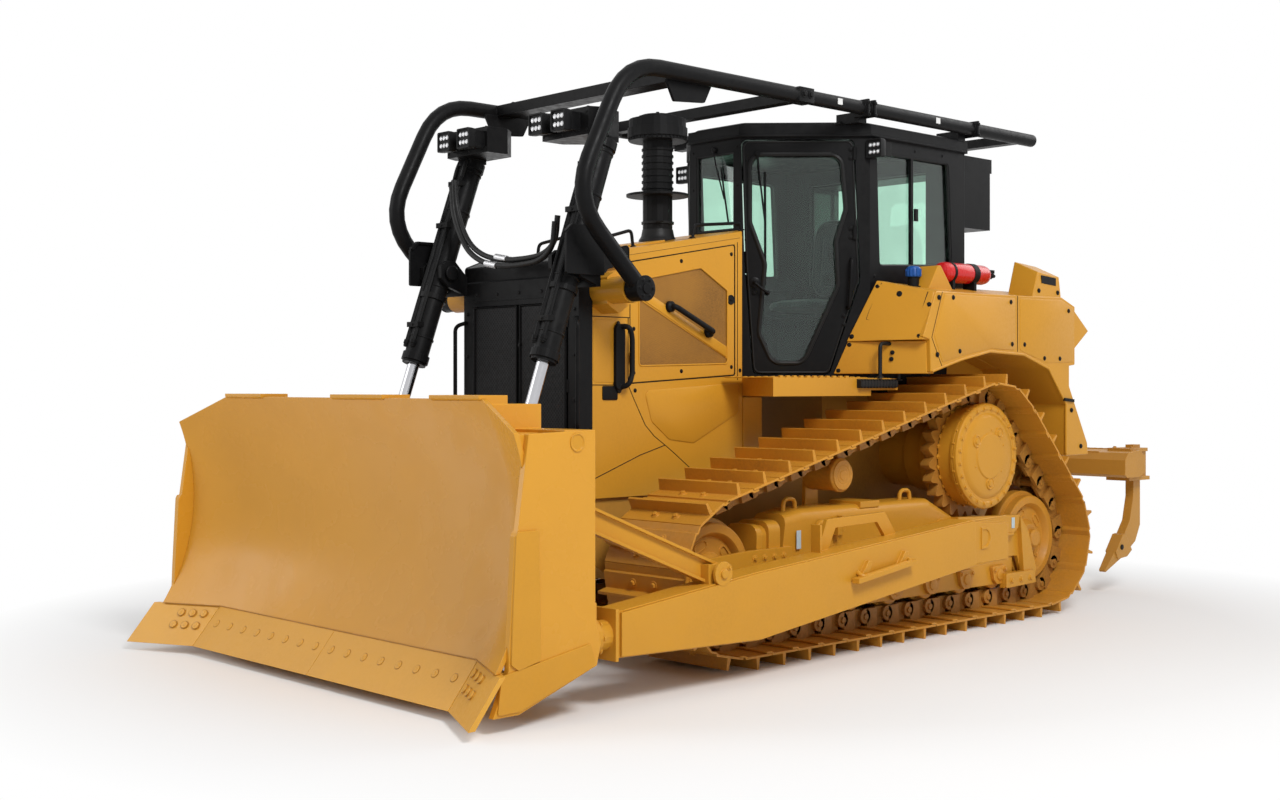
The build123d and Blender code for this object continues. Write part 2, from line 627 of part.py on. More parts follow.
def intake_stack():
    """Ribbed intake pipe with a flat disc and a round cleaner head."""
    stack = post(0, STACK, STACK_R, 2430, 3055)
    # ribs, disc, and the head's rim, bowl and crown: radius, lower and upper heights
    rows = [(STACK_R + 7, z, z + 14) for z in range(2740, 3020, 40)]
    rows += [(195, 2698, 2712), (178, 3040, 3060), (187, 3060, 3120), (178, 3120, 3175), (120, 3175, 3195)]
    for radius, z0, z1 in rows:
        stack += post(0, STACK, radius, z0, z1, FINE if radius > STACK_R + 7 else PLAIN)
    return stack


def rear_box():
    """Cooler box across the rear of the cab."""
    box = block(-780, 780, CAB_REAR, 5150, 2995, 3090)
    for x0, x1 in ((-780, -560), (560, 780)):
        box += block(x0, x1, CAB_REAR, 5130, 2600, 2995)
    return box


# ---- blade ----
def mould_face(width):
    """Section of the mouldboard: front arc, top edge, back arc, bottom edge."""
    a, b, c = MOULD_FRONT
    back = [(y + MOULD_T, z) for y, z in MOULD_FRONT]
    edges = [ThreePointArc(a, b, c), Line(c, back[2]), ThreePointArc(back[2], back[1], back[0]),
             Line(back[0], a)]
    return Plane.YZ.offset(width) * make_face(edges)


def skewed(face, width):
    """Extrude a section outwards and forwards, as the wings run."""
    direction = Vector(width, -abs(width) * WING_SLOPE, 0)
    return extrude(face, amount=direction.length, dir=direction)


def blade():
    """Mouldboard with angled wings, end plates, box beams and ribs on its back, and cylinder lugs."""
    wing = skewed(mould_face(BLADE_HALF), WING_END - BLADE_HALF)
    above = Plane.XZ * outline(((BLADE_HALF - 1, 1466), (WING_END + 5, 1312), (WING_END + 5, 1600),
                                (BLADE_HALF - 1, 1600)))
    wing -= extrude(above, amount=1500, both=True)
    end_plate = side(((365, 1312), (760, 1324), (760, 450), (795, 340), (770, 237), (310, 75), (165, 75),
                      (252, 275), (262, 460), (285, 865), (305, 890)), WING_END - 15, WING_END + 20)
    corner = side(((480, 262), (795, 235), (795, 520), (540, 560)), BLADE_HALF - 5, WING_END - 10)
    rib_end = side(((540, 500), (760, 500), (760, 1324), (470, 1324)), BLADE_HALF - 30, BLADE_HALF)
    top_end = side(((430, 1200), (760, 1200), (760, 1324), (430, 1324)), BLADE_HALF - 5, WING_END - 10)
    left = wing + end_plate + corner + rib_end + top_end
    body = extrude(mould_face(-BLADE_HALF), amount=2 * BLADE_HALF, dir=(1, 0, 0))
    body += left + right_of(left)
    body += side(((401, 262), (795, 235), (795, 520), (560, 560)), -BLADE_HALF, BLADE_HALF)
    body += side(((540, 1180), (760, 1180), (760, 1440), (440, 1440)), -BLADE_HALF, BLADE_HALF)
    for x in (-900, -300, 300, 900):
        body += side(((580, 500), (760, 500), (760, 1200), (560, 1200)), x - 12, x + 12)
    body += side(((404, 262), (440, 262), (303, 82), (265, 82)), -BLADE_HALF, BLADE_HALF)
    # tabs on the top edge, and the braces' seats behind the wings: inner and outer widths
    for x0, x1 in ((-1195, -790), (-80, 400), (800, 1195)):
        body += side(((388, 1465), (388, 1482), (560, 1482), (560, 1438), (440, 1438)), x0, x1)
    for x0, x1 in mirrored_pairs(((1255, 1345),)):
        body += side(((520, 900), (520, 1020), (758, 1000), (758, 915)), x0, x1)
    lug = ((600, 560), (580, 1180), (760, 1180), (1010, 905), (1062, 850), (1040, 770), (980, 755),
           (780, 500))
    for x in (-LIFT_X, LIFT_X):
        body += side(lug, x - 75, x - 45) + side(lug, x + 45, x + 75) + disc(*LIFT_EYE, LIFT_PIN_R, x - 75,
                x + 75)
    return body


def cutting_edges():
    """Two middle edges and two end bits below the mouldboard."""
    section = ((199, GROUND_GAP), (369, 261), (400, 261), (236, GROUND_GAP))
    middle = side(section, 2, 1213)
    bit = skewed(Plane.YZ.offset(1217) * outline(section), EDGE_TIP - 1217)
    return group(middle, right_of(middle), bit, right_of(bit))


def push_arms():
    """Box arms from the blade's ball joints to the trunnions, with braces, foot bars and open brackets."""
    arm = side(((ARM_FRONT, 246), (ARM_FRONT, 465), (1904, 571), (3812, 725), (ARM_REAR, 690),
                (ARM_REAR, 463),
                (3822, 450), (1927, 220)), ARM_IN, ARM_OUT)
    arm -= disc(*TRUNNION, 62, ARM_IN - 1, ARM_OUT + 1)
    arm += block(ARM_IN - 14, ARM_OUT + 14, ARM_FRONT - 18, ARM_FRONT, 232, 478)
    middle = (ARM_IN + ARM_OUT) / 2
    for radius, s0, s1 in ((95, 795, 832), (72, 832, ARM_FRONT - 18)):
        arm += rod((middle, s0, 350), (middle, s1, 350), radius, PLAIN)
    low, high = Vector(1475, 1640, 580), Vector(1300, 790, 955)
    for lift, wide, deep in ((0, 24, 96), (52, 78, 14), (-52, 78, 14)):
        up = Vector(0, 0.39, 0.92) * lift
        arm += bar(tuple(low + up), tuple(high + up), wide, deep)
    arm += block(middle - 55, middle + 55, 1570, 1700, 500, 632) + block(1255, 1345, 766, 800, 900, 1015)
    arm += tube([(ARM_OUT - 5, 2710, 515), (ARM_OUT + 60, 2690, 480), (ARM_OUT + 60, 3160, 538),
                 (ARM_OUT - 5, 3110, 556)], 13, 30)
    bracket = side(((2520, 600), (2610, 792), (3120, 805), (3250, 640)), ARM_IN + 4, ARM_IN + 28)
    bracket -= side(((2600, 590), (2680, 742), (3050, 752), (3160, 620)), ARM_IN, ARM_IN + 30)
    arm += bracket + block(ARM_IN + 4, ARM_IN + 70, 2500, 2515, 600, 770)
    return group(arm, right_of(arm))


# ---- lift cylinders ----
def along(pivot, eye, distance, x):
    """Point on a cylinder's axis, measured from its pivot towards its eye."""
    dy, dz = eye[0] - pivot[0], eye[1] - pivot[1]
    span = math.hypot(dy, dz)
    return (x, pivot[0] + dy / span * distance, pivot[1] + dz / span * distance)


def lamp(x, station, z):
    """Square working lamp that faces forwards, its cells sunk behind the rim."""
    half = LAMP / 2
    body = block(x - half, x + half, station, station + LAMP_DEEP, z - half, z + half)
    body -= block(x - half + 8, x + half - 8, station - 1, station + 8, z - half + 8, z + half - 8)
    for dx in (-24, 0, 24):
        for dz in (-18, 18):
            body += block(x + dx - 9, x + dx + 9, station + 3, station + 9, z + dz - 13, z + dz + 13)
    return body


def on_barrel(distance):
    """Point of the left lift cylinder's axis at a distance below its trunnion."""
    return along(LIFT_PIVOT, LIFT_EYE, distance, LIFT_X)


def lift_barrel():
    """Cylinder barrel with its trunnions, pipes and end rings, and the lamp box on its upper end."""
    body = rod(on_barrel(-BARREL_UP), on_barrel(BARREL_DOWN), BARREL_R)
    for start, length in ((BARREL_DOWN - 60, 45), (140, 30), (-BARREL_UP, 50)):
        body += rod(on_barrel(start), on_barrel(start + length), BARREL_R + 10, FINE)
    body += disc(*LIFT_PIVOT, 38, LIFT_X - 100, LIFT_X + 108)
    # pipes down the front of the barrel: width from its axis
    for dx in (-34, 34):
        ends = [Vector(*on_barrel(d)) + Vector(dx, -78, -18) for d in (-640, BARREL_DOWN - 130)]
        body += rod(tuple(ends[0]), tuple(ends[1]), 13, SMALL)
    for d in (-600, -330, 300):
        x, y, z = on_barrel(d)
        body += block(x - 55, x + 55, y - 100, y - 55, z - 35, z - 5)
    body -= rod(on_barrel(30 - BARREL_UP), on_barrel(BARREL_DOWN + 30), ROD_R + 3)
    _, station, z = on_barrel(-BARREL_UP)
    box = plan(((250, station - 150), (640, station - 150), (680, station - 60), (620, station + 90),
                (330, station + 90), (250, station)), z + 20, z + 170)
    body += box + block(LIFT_X - 60, LIFT_X + 60, station - 60, station + 60, z - 8, z + 21)
    for x in LAMP_WIDTHS:
        body += lamp(x, station - 150 - LAMP_DEEP, z + 95)
    return body


def lift_rod():
    span = math.dist(LIFT_PIVOT, LIFT_EYE)
    body = rod(along(LIFT_PIVOT, LIFT_EYE, 60, LIFT_X), along(LIFT_PIVOT, LIFT_EYE, span - 20, LIFT_X),
               ROD_R)
    body += disc(*LIFT_EYE, LIFT_BORE_R + 22, LIFT_X - 38, LIFT_X + 38)
    return body - disc(*LIFT_EYE, LIFT_BORE_R, LIFT_X - 39, LIFT_X + 39)


def lift_yokes():
    """Brackets on the guard's upper corners that hold the lift cylinders' trunnions."""
    cheek = ((GRILLE_FACE, 2060), (1450, 2110), (1400, 2160), (1400, 2230), (1440, 2262), (1500, 2262),
             (GRILLE_FACE, 2170))
    yoke = side(cheek, 488, 516) + side(cheek, 668, 700) + block(488, 700, GRILLE_FACE - 30, GRILLE_FACE,
                                                                 2060, 2170)
    yoke -= disc(*LIFT_PIVOT, 40, 400, 800)
    return group(yoke, right_of(yoke))


# ---- ripper ----
def ripper_frame():
    """Tail bracket on the main frame, whose six plates hold the linkage's pins."""
    body = block(-420, 420, 5700, 5725, 480, 1400)
    plate = ((5725, 480), (5725, 1400), (5860, 1400), (5875, 1280), (5875, 520), (5840, 480))
    for x0, x1 in mirrored_pairs(PLATE_PAIRS):
        body += side(plate, x0, x1)
    # bores, only through the plates that hold each pin: inner and outer widths
    for pin, x0, x1 in ((LOW_PIN, 260, 430), (HIGH_PIN, 100, 150), (RAM_PIN, 100, 310)):
        for a, b in mirrored_pairs(((x0, x1),)):
            body -= disc(*pin, PIN_R, a, b)
    return body + tow_lug(REAR_TOW, 5720)


def link(p, q, x0, x1):
    """Flat link with round ends between two pins, its pins included."""
    dy, dz = q[0] - p[0], q[1] - p[1]
    turn = Rot(math.degrees(math.atan2(dz, dy)), 0, 0)
    body = Pos((x0 + x1) / 2, (p[0] + q[0]) / 2, (p[1] + q[1]) / 2) * turn * Box(x1 - x0,
            math.hypot(dy, dz), 100)
    for pin in (p, q):
        body += wheel(*pin, 60, x0, x1) + disc(*pin, PIN_R - 1, x0 - 30, x1 + 30)
    return body


def lower_links():
    left = link(LOW_PIN, LOW_PIN_BEAM, 305, 385)
    return group(left, right_of(left))


def upper_link():
    return link(HIGH_PIN, HIGH_PIN_BEAM, -105, 105)


def ripper_beam():
    """Cross beam with shank pockets between tab plates, and the linkage's plates before and above it."""
    beam = side(((6420, 870), (6420, 980), (6462, 1032), (6640, 1050), (6700, 1000), (6700, 880),
                 (6640, 850),
                 (6450, 850)), -BEAM_HALF, BEAM_HALF)
    for x0, x1 in mirrored_pairs(PLATE_PAIRS[1:]):
        beam += side(((6440, 870), (6425, 740), (6460, 690), (6540, 690), (6575, 740), (6560, 870)), x0, x1)
    for x0, x1 in mirrored_pairs(PLATE_PAIRS[:1]):
        beam += side(((6430, 1020), (6425, 1160), (6460, 1212), (6540, 1212), (6575, 1160), (6590, 1020)),
                     x0, x1)
    for x0, x1 in mirrored_pairs(((148, 170), (240, 262))):
        beam += side(((6420, 950), (6335, 1050), (6322, 1125), (6370, 1172), (6430, 1160), (6560, 1030)),
                     x0, x1)
    for x in SHANKS:
        beam += block(x - 70, x + 70, 6690, LENGTH - 12, 850, 1036)
        beam += block(x - 95, x + 95, 6560, LENGTH - 30, 1036, 1062) + block(x - 95, x + 95, 6540, LENGTH,
                822, 850)
        beam -= block(x - SHANK_T / 2 - 1, x + SHANK_T / 2 + 1, 6709, 6811, 800, 1100)
    # bores, only through the plates that hold each pin
    for pin, x0, x1 in ((LOW_PIN_BEAM, 260, 430), (HIGH_PIN_BEAM, 100, 150)):
        for a, b in mirrored_pairs(((x0, x1),)):
            beam -= disc(*pin, PIN_R, a, b)
    return beam


def shank(x):
    """Shank in its pocket: straight above, curved forwards below, in a wedge-ended tip."""
    half = SHANK_T / 2
    body = side(((6710, 1085), (6810, 1085), (6810, 480), (6740, 360), (6620, 290), (6560, 400),
                 (6660, 520),
                 (6710, 700)), x - half, x + half)
    adaptor = side(((6670, 300), (6600, 255), (6470, 245), (6440, 300), (6540, 420), (6580, 425)),
                   x - half - 12, x + half + 12)
    tip = loft([Plane(origin=(x, 6500, 290), z_dir=(0, -0.82, -0.57),
                      x_dir=(1, 0, 0)) * Rectangle(SHANK_T + 8, 100),
                Plane(origin=(x, 6320, 165), z_dir=(0, -0.82, -0.57),
                      x_dir=(1, 0, 0)) * Rectangle(SHANK_T - 14, 16)])
    return body + adaptor + tip


def ripper_barrels():
    """Ram barrels, each with the pin that holds its base between the bracket's plates."""
    body = rod(along(RAM_PIN, RAM_EYE, 30, RAM_X), along(RAM_PIN, RAM_EYE, 480, RAM_X), RAM_R)
    body += disc(*RAM_PIN, 58, RAM_X - 60, RAM_X + 60)
    body -= rod(along(RAM_PIN, RAM_EYE, 62, RAM_X), along(RAM_PIN, RAM_EYE, 490, RAM_X), RAM_ROD_R + 3)
    body += disc(*RAM_PIN, PIN_R - 1, RAM_X - 68, RAM_X + 68)
    return group(body, right_of(body))


def ripper_rods():
    """Ram rods with solid eyes, free between the beam's lugs."""
    span = math.dist(RAM_PIN, RAM_EYE)
    body = rod(along(RAM_PIN, RAM_EYE, 250, RAM_X), along(RAM_PIN, RAM_EYE, span - 20, RAM_X), RAM_ROD_R)
    body += disc(*RAM_EYE, 45, RAM_X - 30, RAM_X + 30)
    return group(body, right_of(body))


def pairs(name, shape):
    """A left piece and its mirror image."""
    return {f"{name}_left": shape, f"{name}_right": right_of(shape)}


NODES = {
    "main_frame": main_frame(),
    "engine": engine(),
    "radiator_guard": radiator_guard(),
    "hood": hood(),
    "cab": cab_shell(),
    "cab_glass": cab_glass(),
    "seat": seat(),
    "console": console(),
    "fuel_tank": fuel_tank(),
    "decks": decks(),
    "guard_tubes": guard_tubes(),
    "guard_mounts": guard_mounts(),
    "intake_stack": intake_stack(),
    "rear_box": rear_box(),
    "cab_fittings": cab_fittings(),
    "cross_shafts": cross_shafts(),
    "lift_yokes": lift_yokes(),
    "lift_barrels": group(lift_barrel(), right_of(lift_barrel())),
    "lift_rods": group(lift_rod(), right_of(lift_rod())),
    "blade": blade(),
    "cutting_edges": cutting_edges(),
    "push_arms": push_arms(),
    "ripper_frame": ripper_frame(),
    "ripper_lower_links": lower_links(),
    "ripper_upper_link": upper_link(),
    "ripper_beam": ripper_beam(),
    "ripper_shanks": group(*[shank(x) for x in SHANKS]),
    "ripper_barrels": ripper_barrels(),
    "ripper_rods": ripper_rods(),
    **pairs("track", track_loop()),
    **pairs("track_frame", track_frame()),
    **pairs("running_wheels", running_wheels()),
    **pairs("sprocket", sprocket_and_drive()),
    **pairs("fender", fender()),
    **pairs("engine_door", engine_door()),
    **pairs("cab_door", cab_door()),
    **pairs("door_glass", door_glass()),
}

for name, shape in NODES.items():
    write(name, shape)
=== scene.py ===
"""Looks of a crawler bulldozer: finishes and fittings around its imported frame.

Places are in metres in the frame's axes: +X to the machine's left, +Y to its rear, +Z up. A station is a
distance behind the blade's leading tips, so that Y is the station plus the frame's lowest Y.
"""
from __future__ import annotations

import json
import logging
import math
from dataclasses import dataclass, field
from enum import Enum
from typing import Sequence

import bpy
import numpy as np
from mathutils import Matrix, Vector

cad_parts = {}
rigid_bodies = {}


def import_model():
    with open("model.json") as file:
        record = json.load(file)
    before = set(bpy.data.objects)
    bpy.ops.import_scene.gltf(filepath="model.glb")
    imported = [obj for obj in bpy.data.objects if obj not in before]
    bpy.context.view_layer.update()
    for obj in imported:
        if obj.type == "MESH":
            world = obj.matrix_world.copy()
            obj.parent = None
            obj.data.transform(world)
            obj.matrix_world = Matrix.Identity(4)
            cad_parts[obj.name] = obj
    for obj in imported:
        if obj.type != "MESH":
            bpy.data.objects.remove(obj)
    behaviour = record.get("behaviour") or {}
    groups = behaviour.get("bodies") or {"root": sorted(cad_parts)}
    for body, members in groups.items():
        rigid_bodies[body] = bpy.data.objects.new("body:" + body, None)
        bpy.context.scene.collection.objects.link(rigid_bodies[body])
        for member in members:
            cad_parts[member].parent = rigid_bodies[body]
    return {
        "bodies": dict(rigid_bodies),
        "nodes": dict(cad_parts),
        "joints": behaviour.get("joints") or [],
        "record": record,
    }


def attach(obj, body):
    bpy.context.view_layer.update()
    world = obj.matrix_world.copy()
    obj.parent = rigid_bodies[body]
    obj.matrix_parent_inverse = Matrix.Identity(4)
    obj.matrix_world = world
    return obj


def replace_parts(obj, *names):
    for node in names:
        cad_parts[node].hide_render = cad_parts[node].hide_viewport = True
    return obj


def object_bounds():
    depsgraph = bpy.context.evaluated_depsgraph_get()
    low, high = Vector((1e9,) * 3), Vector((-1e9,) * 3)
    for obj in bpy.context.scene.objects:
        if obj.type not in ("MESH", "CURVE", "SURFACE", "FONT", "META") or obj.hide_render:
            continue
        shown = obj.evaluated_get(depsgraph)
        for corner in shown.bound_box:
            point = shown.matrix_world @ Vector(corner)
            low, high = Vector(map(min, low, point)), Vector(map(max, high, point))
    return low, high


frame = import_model()
CAD_BOX = [list(corner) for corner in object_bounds()]
NOSE = CAD_BOX[0][1]
LOG = logging.getLogger("bulldozer")

Array = np.ndarray
Pair, Rows, Socket = tuple[float, float], Sequence[Sequence[float]], bpy.types.NodeSocket
LEFT, AHEAD, BACK, UP = (1, 0, 0), (0, -1, 0), (0, 1, 0), (0, 0, 1)


def mm(text: str) -> tuple[tuple[float, ...], ...]:
    """Rows of numbers in metres, read from rows written in millimetres, or in thousandths for bare shares.

    Args:
        text: rows with commas between them, each of numbers with spaces between them.

    Returns:
        The rows.
    """
    return tuple(tuple(float(number) / 1000 for number in line.split()) for line in text.split(","))


# ---- shapes
@dataclass
class Shell:
    """Loose surface of a piece.

    Args:
        points: n by 3 places.
        quads: m by 4 point numbers.
        caps: longer faces, each an array of point numbers.
    """

    points: Array
    quads: Array
    caps: list[Array] = field(default_factory=list)


def at(x: float, station: float, z: float) -> Array:
    """Place in the frame's axes from a width, a station and a height."""
    return np.array([x, station + NOSE, z])


def spots(rows: Rows) -> Array:
    """Places in the frame's axes from rows of width, station and height."""
    return np.asarray(rows, float) + np.array([0.0, NOSE, 0.0])


def join(*shells: Shell) -> Shell:
    """Put shells into one, numbering the points on."""
    points, quads, caps, start = [], [], [], 0
    for shell in shells:
        points.append(shell.points)
        quads.append(shell.quads + start)
        caps += [cap + start for cap in shell.caps]
        start += len(shell.points)
    return Shell(np.vstack(points), np.vstack(quads), caps)


def mirrored(shell: Shell) -> Shell:
    """Mirror image across the centre plane, with its faces turned outwards again."""
    return Shell(shell.points * np.array([-1.0, 1.0, 1.0]), shell.quads[:, ::-1],
        [cap[::-1] for cap in shell.caps])


def both(shell: Shell) -> Shell:
    """A left piece and its mirror image."""
    return join(shell, mirrored(shell))


SIDES = (("left", lambda shell: shell), ("right", mirrored))


def lofted(rings: Array, closed: bool = False) -> Shell:
    """Surface through rings of points, with flat ends unless the rings close on themselves.

    Args:
        rings: n by m by 3, each ring anticlockwise seen from the last towards the first.
        closed: whether the last ring joins the first.

    Returns:
        The shell: quad (i, j) joins points j and j + 1 of rings i and i + 1.
    """
    count, size = rings.shape[:2]
    i, j = np.meshgrid(np.arange(count if closed else count - 1), np.arange(size), indexing="ij")
    a, b = (i * size + j).ravel(), (i * size + (j + 1) % size).ravel()
    up = ((i + 1) % count * size).ravel()
    c, d = up + (j.ravel() + 1) % size, up + j.ravel()
    caps = [] if closed else [np.arange(size)[::-1], np.arange(size) + (count - 1) * size]
    return Shell(rings.reshape(-1, 3), np.stack([a, b, c, d], 1), caps)


def across(outline: Rows, x0: float, x1: float) -> Shell:
    """Slab from a side outline of stations and heights, given clockwise or not, between two widths."""
    flat = anticlockwise(np.asarray(outline, float))
    ring = np.column_stack([np.zeros(len(flat)), flat[:, 0] + NOSE, flat[:, 1]])
    return lofted(np.stack([ring + [x0, 0, 0], ring + [x1, 0, 0]]))


def upright(outline: Rows, z0: float, z1: float) -> Shell:
    """Slab from a plan outline of widths and stations, between two heights."""
    flat = anticlockwise(np.asarray(outline, float))
    ring = np.column_stack([flat[:, 0], flat[:, 1] + NOSE, np.zeros(len(flat))])
    return lofted(np.stack([ring + [0, 0, z0], ring + [0, 0, z1]]))


def facing(outline: Rows, s0: float, s1: float) -> Shell:
    """Slab from a front outline of widths and heights, between two stations."""
    flat = anticlockwise(np.asarray(outline, float))[::-1]
    ring = np.column_stack([flat[:, 0], np.full(len(flat), NOSE), flat[:, 1]])
    return lofted(np.stack([ring + [0, s0, 0], ring + [0, s1, 0]]))


def anticlockwise(flat: Array) -> Array:
    """The outline's points in anticlockwise order, by the sign of its area."""
    nxt = np.roll(flat, -1, 0)
    area = np.sum(flat[:, 0] * nxt[:, 1] - nxt[:, 0] * flat[:, 1])
    return flat if area > 0 else flat[::-1]


def rounded(outline: Rows, radius: float, steps: int = 5) -> Array:
    """Outline with each corner replaced by an arc, worked out for all corners at once."""
    flat = anticlockwise(np.asarray(outline, float))
    back, ahead = np.roll(flat, 1, 0) - flat, np.roll(flat, -1, 0) - flat
    lb, la = np.linalg.norm(back, axis=1), np.linalg.norm(ahead, axis=1)
    back, ahead = back / lb[:, None], ahead / la[:, None]
    half = np.arccos(np.clip(np.sum(back * ahead, 1), -1, 1)) / 2
    reach = np.minimum(radius / np.tan(half), 0.48 * np.minimum(lb, la))
    size = reach * np.tan(half)
    middle = back + ahead
    middle /= np.maximum(np.linalg.norm(middle, axis=1), 1e-9)[:, None]
    centre = flat + middle * (size / np.maximum(np.sin(half), 1e-6))[:, None]
    start, end = flat + back * reach[:, None] - centre, flat + ahead * reach[:, None] - centre
    a0 = np.arctan2(start[:, 1], start[:, 0])
    turn = (np.arctan2(end[:, 1], end[:, 0]) - a0 + np.pi) % (2 * np.pi) - np.pi
    t = a0[:, None] + turn[:, None] * np.linspace(0, 1, steps)[None, :]
    arc = centre[:, None] + size[:, None, None] * np.stack([np.cos(t), np.sin(t)], 2)
    return arc.reshape(-1, 2)


def box(x0: float, x1: float, s0: float, s1: float, z0: float, z1: float) -> Shell:
    """Rectangular block between widths, stations and heights."""
    return upright(((x0, s0), (x1, s0), (x1, s1), (x0, s1)), z0, z1)


def frame_of(direction: Array) -> tuple[Array, Array, Array]:
    """Two unit vectors across a direction, and the unit direction."""
    w = np.asarray(direction, float)
    w = w / np.linalg.norm(w)
    side = np.array([1.0, 0, 0]) if abs(w[0]) < 0.8 else np.array([0, 1.0, 0])
    u = np.cross(side, w)
    u /= np.linalg.norm(u)
    return u, np.cross(w, u), w


def turned(profile: Rows, foot: Array, direction: Sequence[float], steps: int = 32,
        hollow: bool = False) -> Shell:
    """Surface of revolution.

    Args:
        profile: rows of distance along the axis and radius, from one end to the other.
        foot: place on the axis where the distance is nought.
        direction: the axis.
        steps: facets round it.
        hollow: whether the profile closes on itself, round a bore.

    Returns:
        The shell: foot + w d + r (u cos a + v sin a), with flat ends.
    """
    u, v, w = frame_of(np.asarray(direction, float))
    rows = np.asarray(profile, float)
    a = np.linspace(0, 2 * np.pi, steps, endpoint=False)
    spokes = np.cos(a)[:, None] * u + np.sin(a)[:, None] * v
    rings = foot + rows[:, 0, None, None] * w + np.maximum(rows[:, 1], 1e-4)[:, None, None] * spokes
    return lofted(rings, hollow)


def pin(p: Array, q: Array, radius: float, steps: int = 20) -> Shell:
    """Round bar between two places."""
    return turned(((0, radius), (float(np.linalg.norm(q - p)), radius)), p, q - p, steps)


def curve(points: Array, per_run: int = 6) -> Array:
    """Smooth path through points: the Catmull-Rom cubic of each run, all runs at once."""
    p = np.vstack([2 * points[0] - points[1], points, 2 * points[-1] - points[-2]])
    t = np.linspace(0, 1, per_run, endpoint=False)[None, :, None]
    a, b, c, d = (p[k:len(p) - 3 + k][:, None] for k in range(4))
    runs = 0.5 * (2 * b + (c - a) * t + (2 * a - 5 * b + 4 * c - d) * t**2 + (3 * b - a - 3 * c + d) * t**3)
    return np.vstack([runs.reshape(-1, 3), points[-1]])


def piped(path: Array, radius: float | Array, sides: int = 12) -> Shell:
    """Round tube along a path, its rings kept from twisting by one fixed side vector.

    Args:
        path: n by 3 places.
        radius: one radius, or one for each place.
        sides: facets round it.

    Returns:
        The shell: path + r (u cos a + v sin a), with u and v across the path's tangent.
    """
    tangent = np.gradient(path, axis=0)
    tangent /= np.linalg.norm(tangent, axis=1)[:, None]
    span = path.max(0) - path.min(0)
    steady = np.eye(3)[int(np.argmin(span))]
    u = np.cross(steady, tangent)
    u /= np.maximum(np.linalg.norm(u, axis=1), 1e-9)[:, None]
    v = np.cross(tangent, u)
    a = np.linspace(0, 2 * np.pi, sides, endpoint=False)
    r = np.broadcast_to(np.asarray(radius, float), (len(path),))[:, None, None]
    rings = path[:, None] + r * (np.cos(a)[None, :, None] * u[:, None]
        + np.sin(a)[None, :, None] * v[:, None])
    return lofted(rings)


def bent_bar(corners: Rows, radius: float, bend: float, sides: int = 12) -> Shell:
    """Round bar through corner places (width, station, height), each bend an arc of the given radius."""
    p = spots(corners)
    rows = [p[0]]
    for k in range(1, len(p) - 1):
        back, ahead = p[k - 1] - p[k], p[k + 1] - p[k]
        reach = min(bend, 0.48 * min(np.linalg.norm(back), np.linalg.norm(ahead)))
        start, end = p[k] + back / np.linalg.norm(back) * reach, p[k] + ahead / np.linalg.norm(ahead) * reach
        t = np.linspace(0, 1, 7)[:, None]
        rows += list((1 - t) ** 2 * start + 2 * t * (1 - t) * p[k] + t**2 * end)
    rows.append(p[-1])
    return piped(np.array(rows), radius, sides)


def copies(shell: Shell, places: Array, turns: Array | None = None) -> Shell:
    """Repeat a shell at places, each turned by its own 3 by 3 matrix, by broadcasting."""
    k, n = len(places), len(shell.points)
    if turns is None:
        points = shell.points[None] + places[:, None]
    else:
        points = np.einsum("kij,nj->kni", turns, shell.points) + places[:, None]
    step = (np.arange(k) * n)[:, None, None]
    quads = (shell.quads[None] + step).reshape(-1, 4)
    caps = [cap + n * i for i in range(k) for cap in shell.caps]
    return Shell(points.reshape(-1, 3), quads, caps)


def bolts(places: Array, direction: Sequence[float], radius: float = 0.012, height: float = 0.009,
        sides: int = 6) -> Shell:
    """Bolt heads on their washers, one at each place, standing along the direction."""
    w = frame_of(np.asarray(direction, float))[2]
    head = turned(((-0.004, radius * 1.55), (height * 0.25, radius * 1.55)), np.zeros(3), w, 14)
    top = turned(((0, radius), (height * 0.85, radius), (height, radius * 0.86)), np.zeros(3), w, sides)
    return copies(join(head, top), np.asarray(places, float))


def row(p: Sequence[float], q: Sequence[float], count: int) -> Array:
    """Evenly spaced places from p to q, each a width, a station and a height."""
    return spots(np.linspace(np.asarray(p, float), np.asarray(q, float), count))


def circle(x: float, station: float, z: float, radius: float, count: int, start: float = 0.0) -> Array:
    """Places on a circle that faces sideways."""
    a = start + np.linspace(0, 2 * np.pi, count, endpoint=False)
    return spots(np.column_stack([np.full(count, x), station + radius * np.cos(a), z + radius * np.sin(a)]))


def build(name: str, shell: Shell, finish: "Finish", body: str, bevel: float = 0.0,
        crease: float = 35.0) -> bpy.types.Object:
    """Make the piece: mesh, rounded edges, finish and the body that it rides on.

    Args:
        name: the piece's name.
        shell: its surface, in the frame's axes.
        finish: its finish.
        body: the body that carries it.
        bevel: width of its rounded edges, or nought.
        crease: angle in degrees past which an edge stays sharp.

    Returns:
        The object, at the origin and unturned.
    """
    faces = [tuple(face) for face in shell.quads.tolist()] + [tuple(cap.tolist()) for cap in shell.caps]
    mesh = bpy.data.meshes.new(name)
    mesh.from_pydata(shell.points.astype(float).tolist(), [], faces)
    mesh.validate()
    mesh.shade_smooth()
    mesh.set_sharp_from_angle(angle=math.radians(crease))
    piece = bpy.data.objects.new(name, mesh)
    bpy.context.scene.collection.objects.link(piece)
    mesh.materials.append(finish.material())
    if bevel:
        edge = piece.modifiers.new("edges", "BEVEL")
        edge.width, edge.segments, edge.limit_method = bevel, 2, "ANGLE"
        edge.angle_limit, edge.harden_normals = math.radians(crease), True
    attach(piece, body)
    LOG.info("%s: %d faces on %s", name, len(faces), body)
    return piece


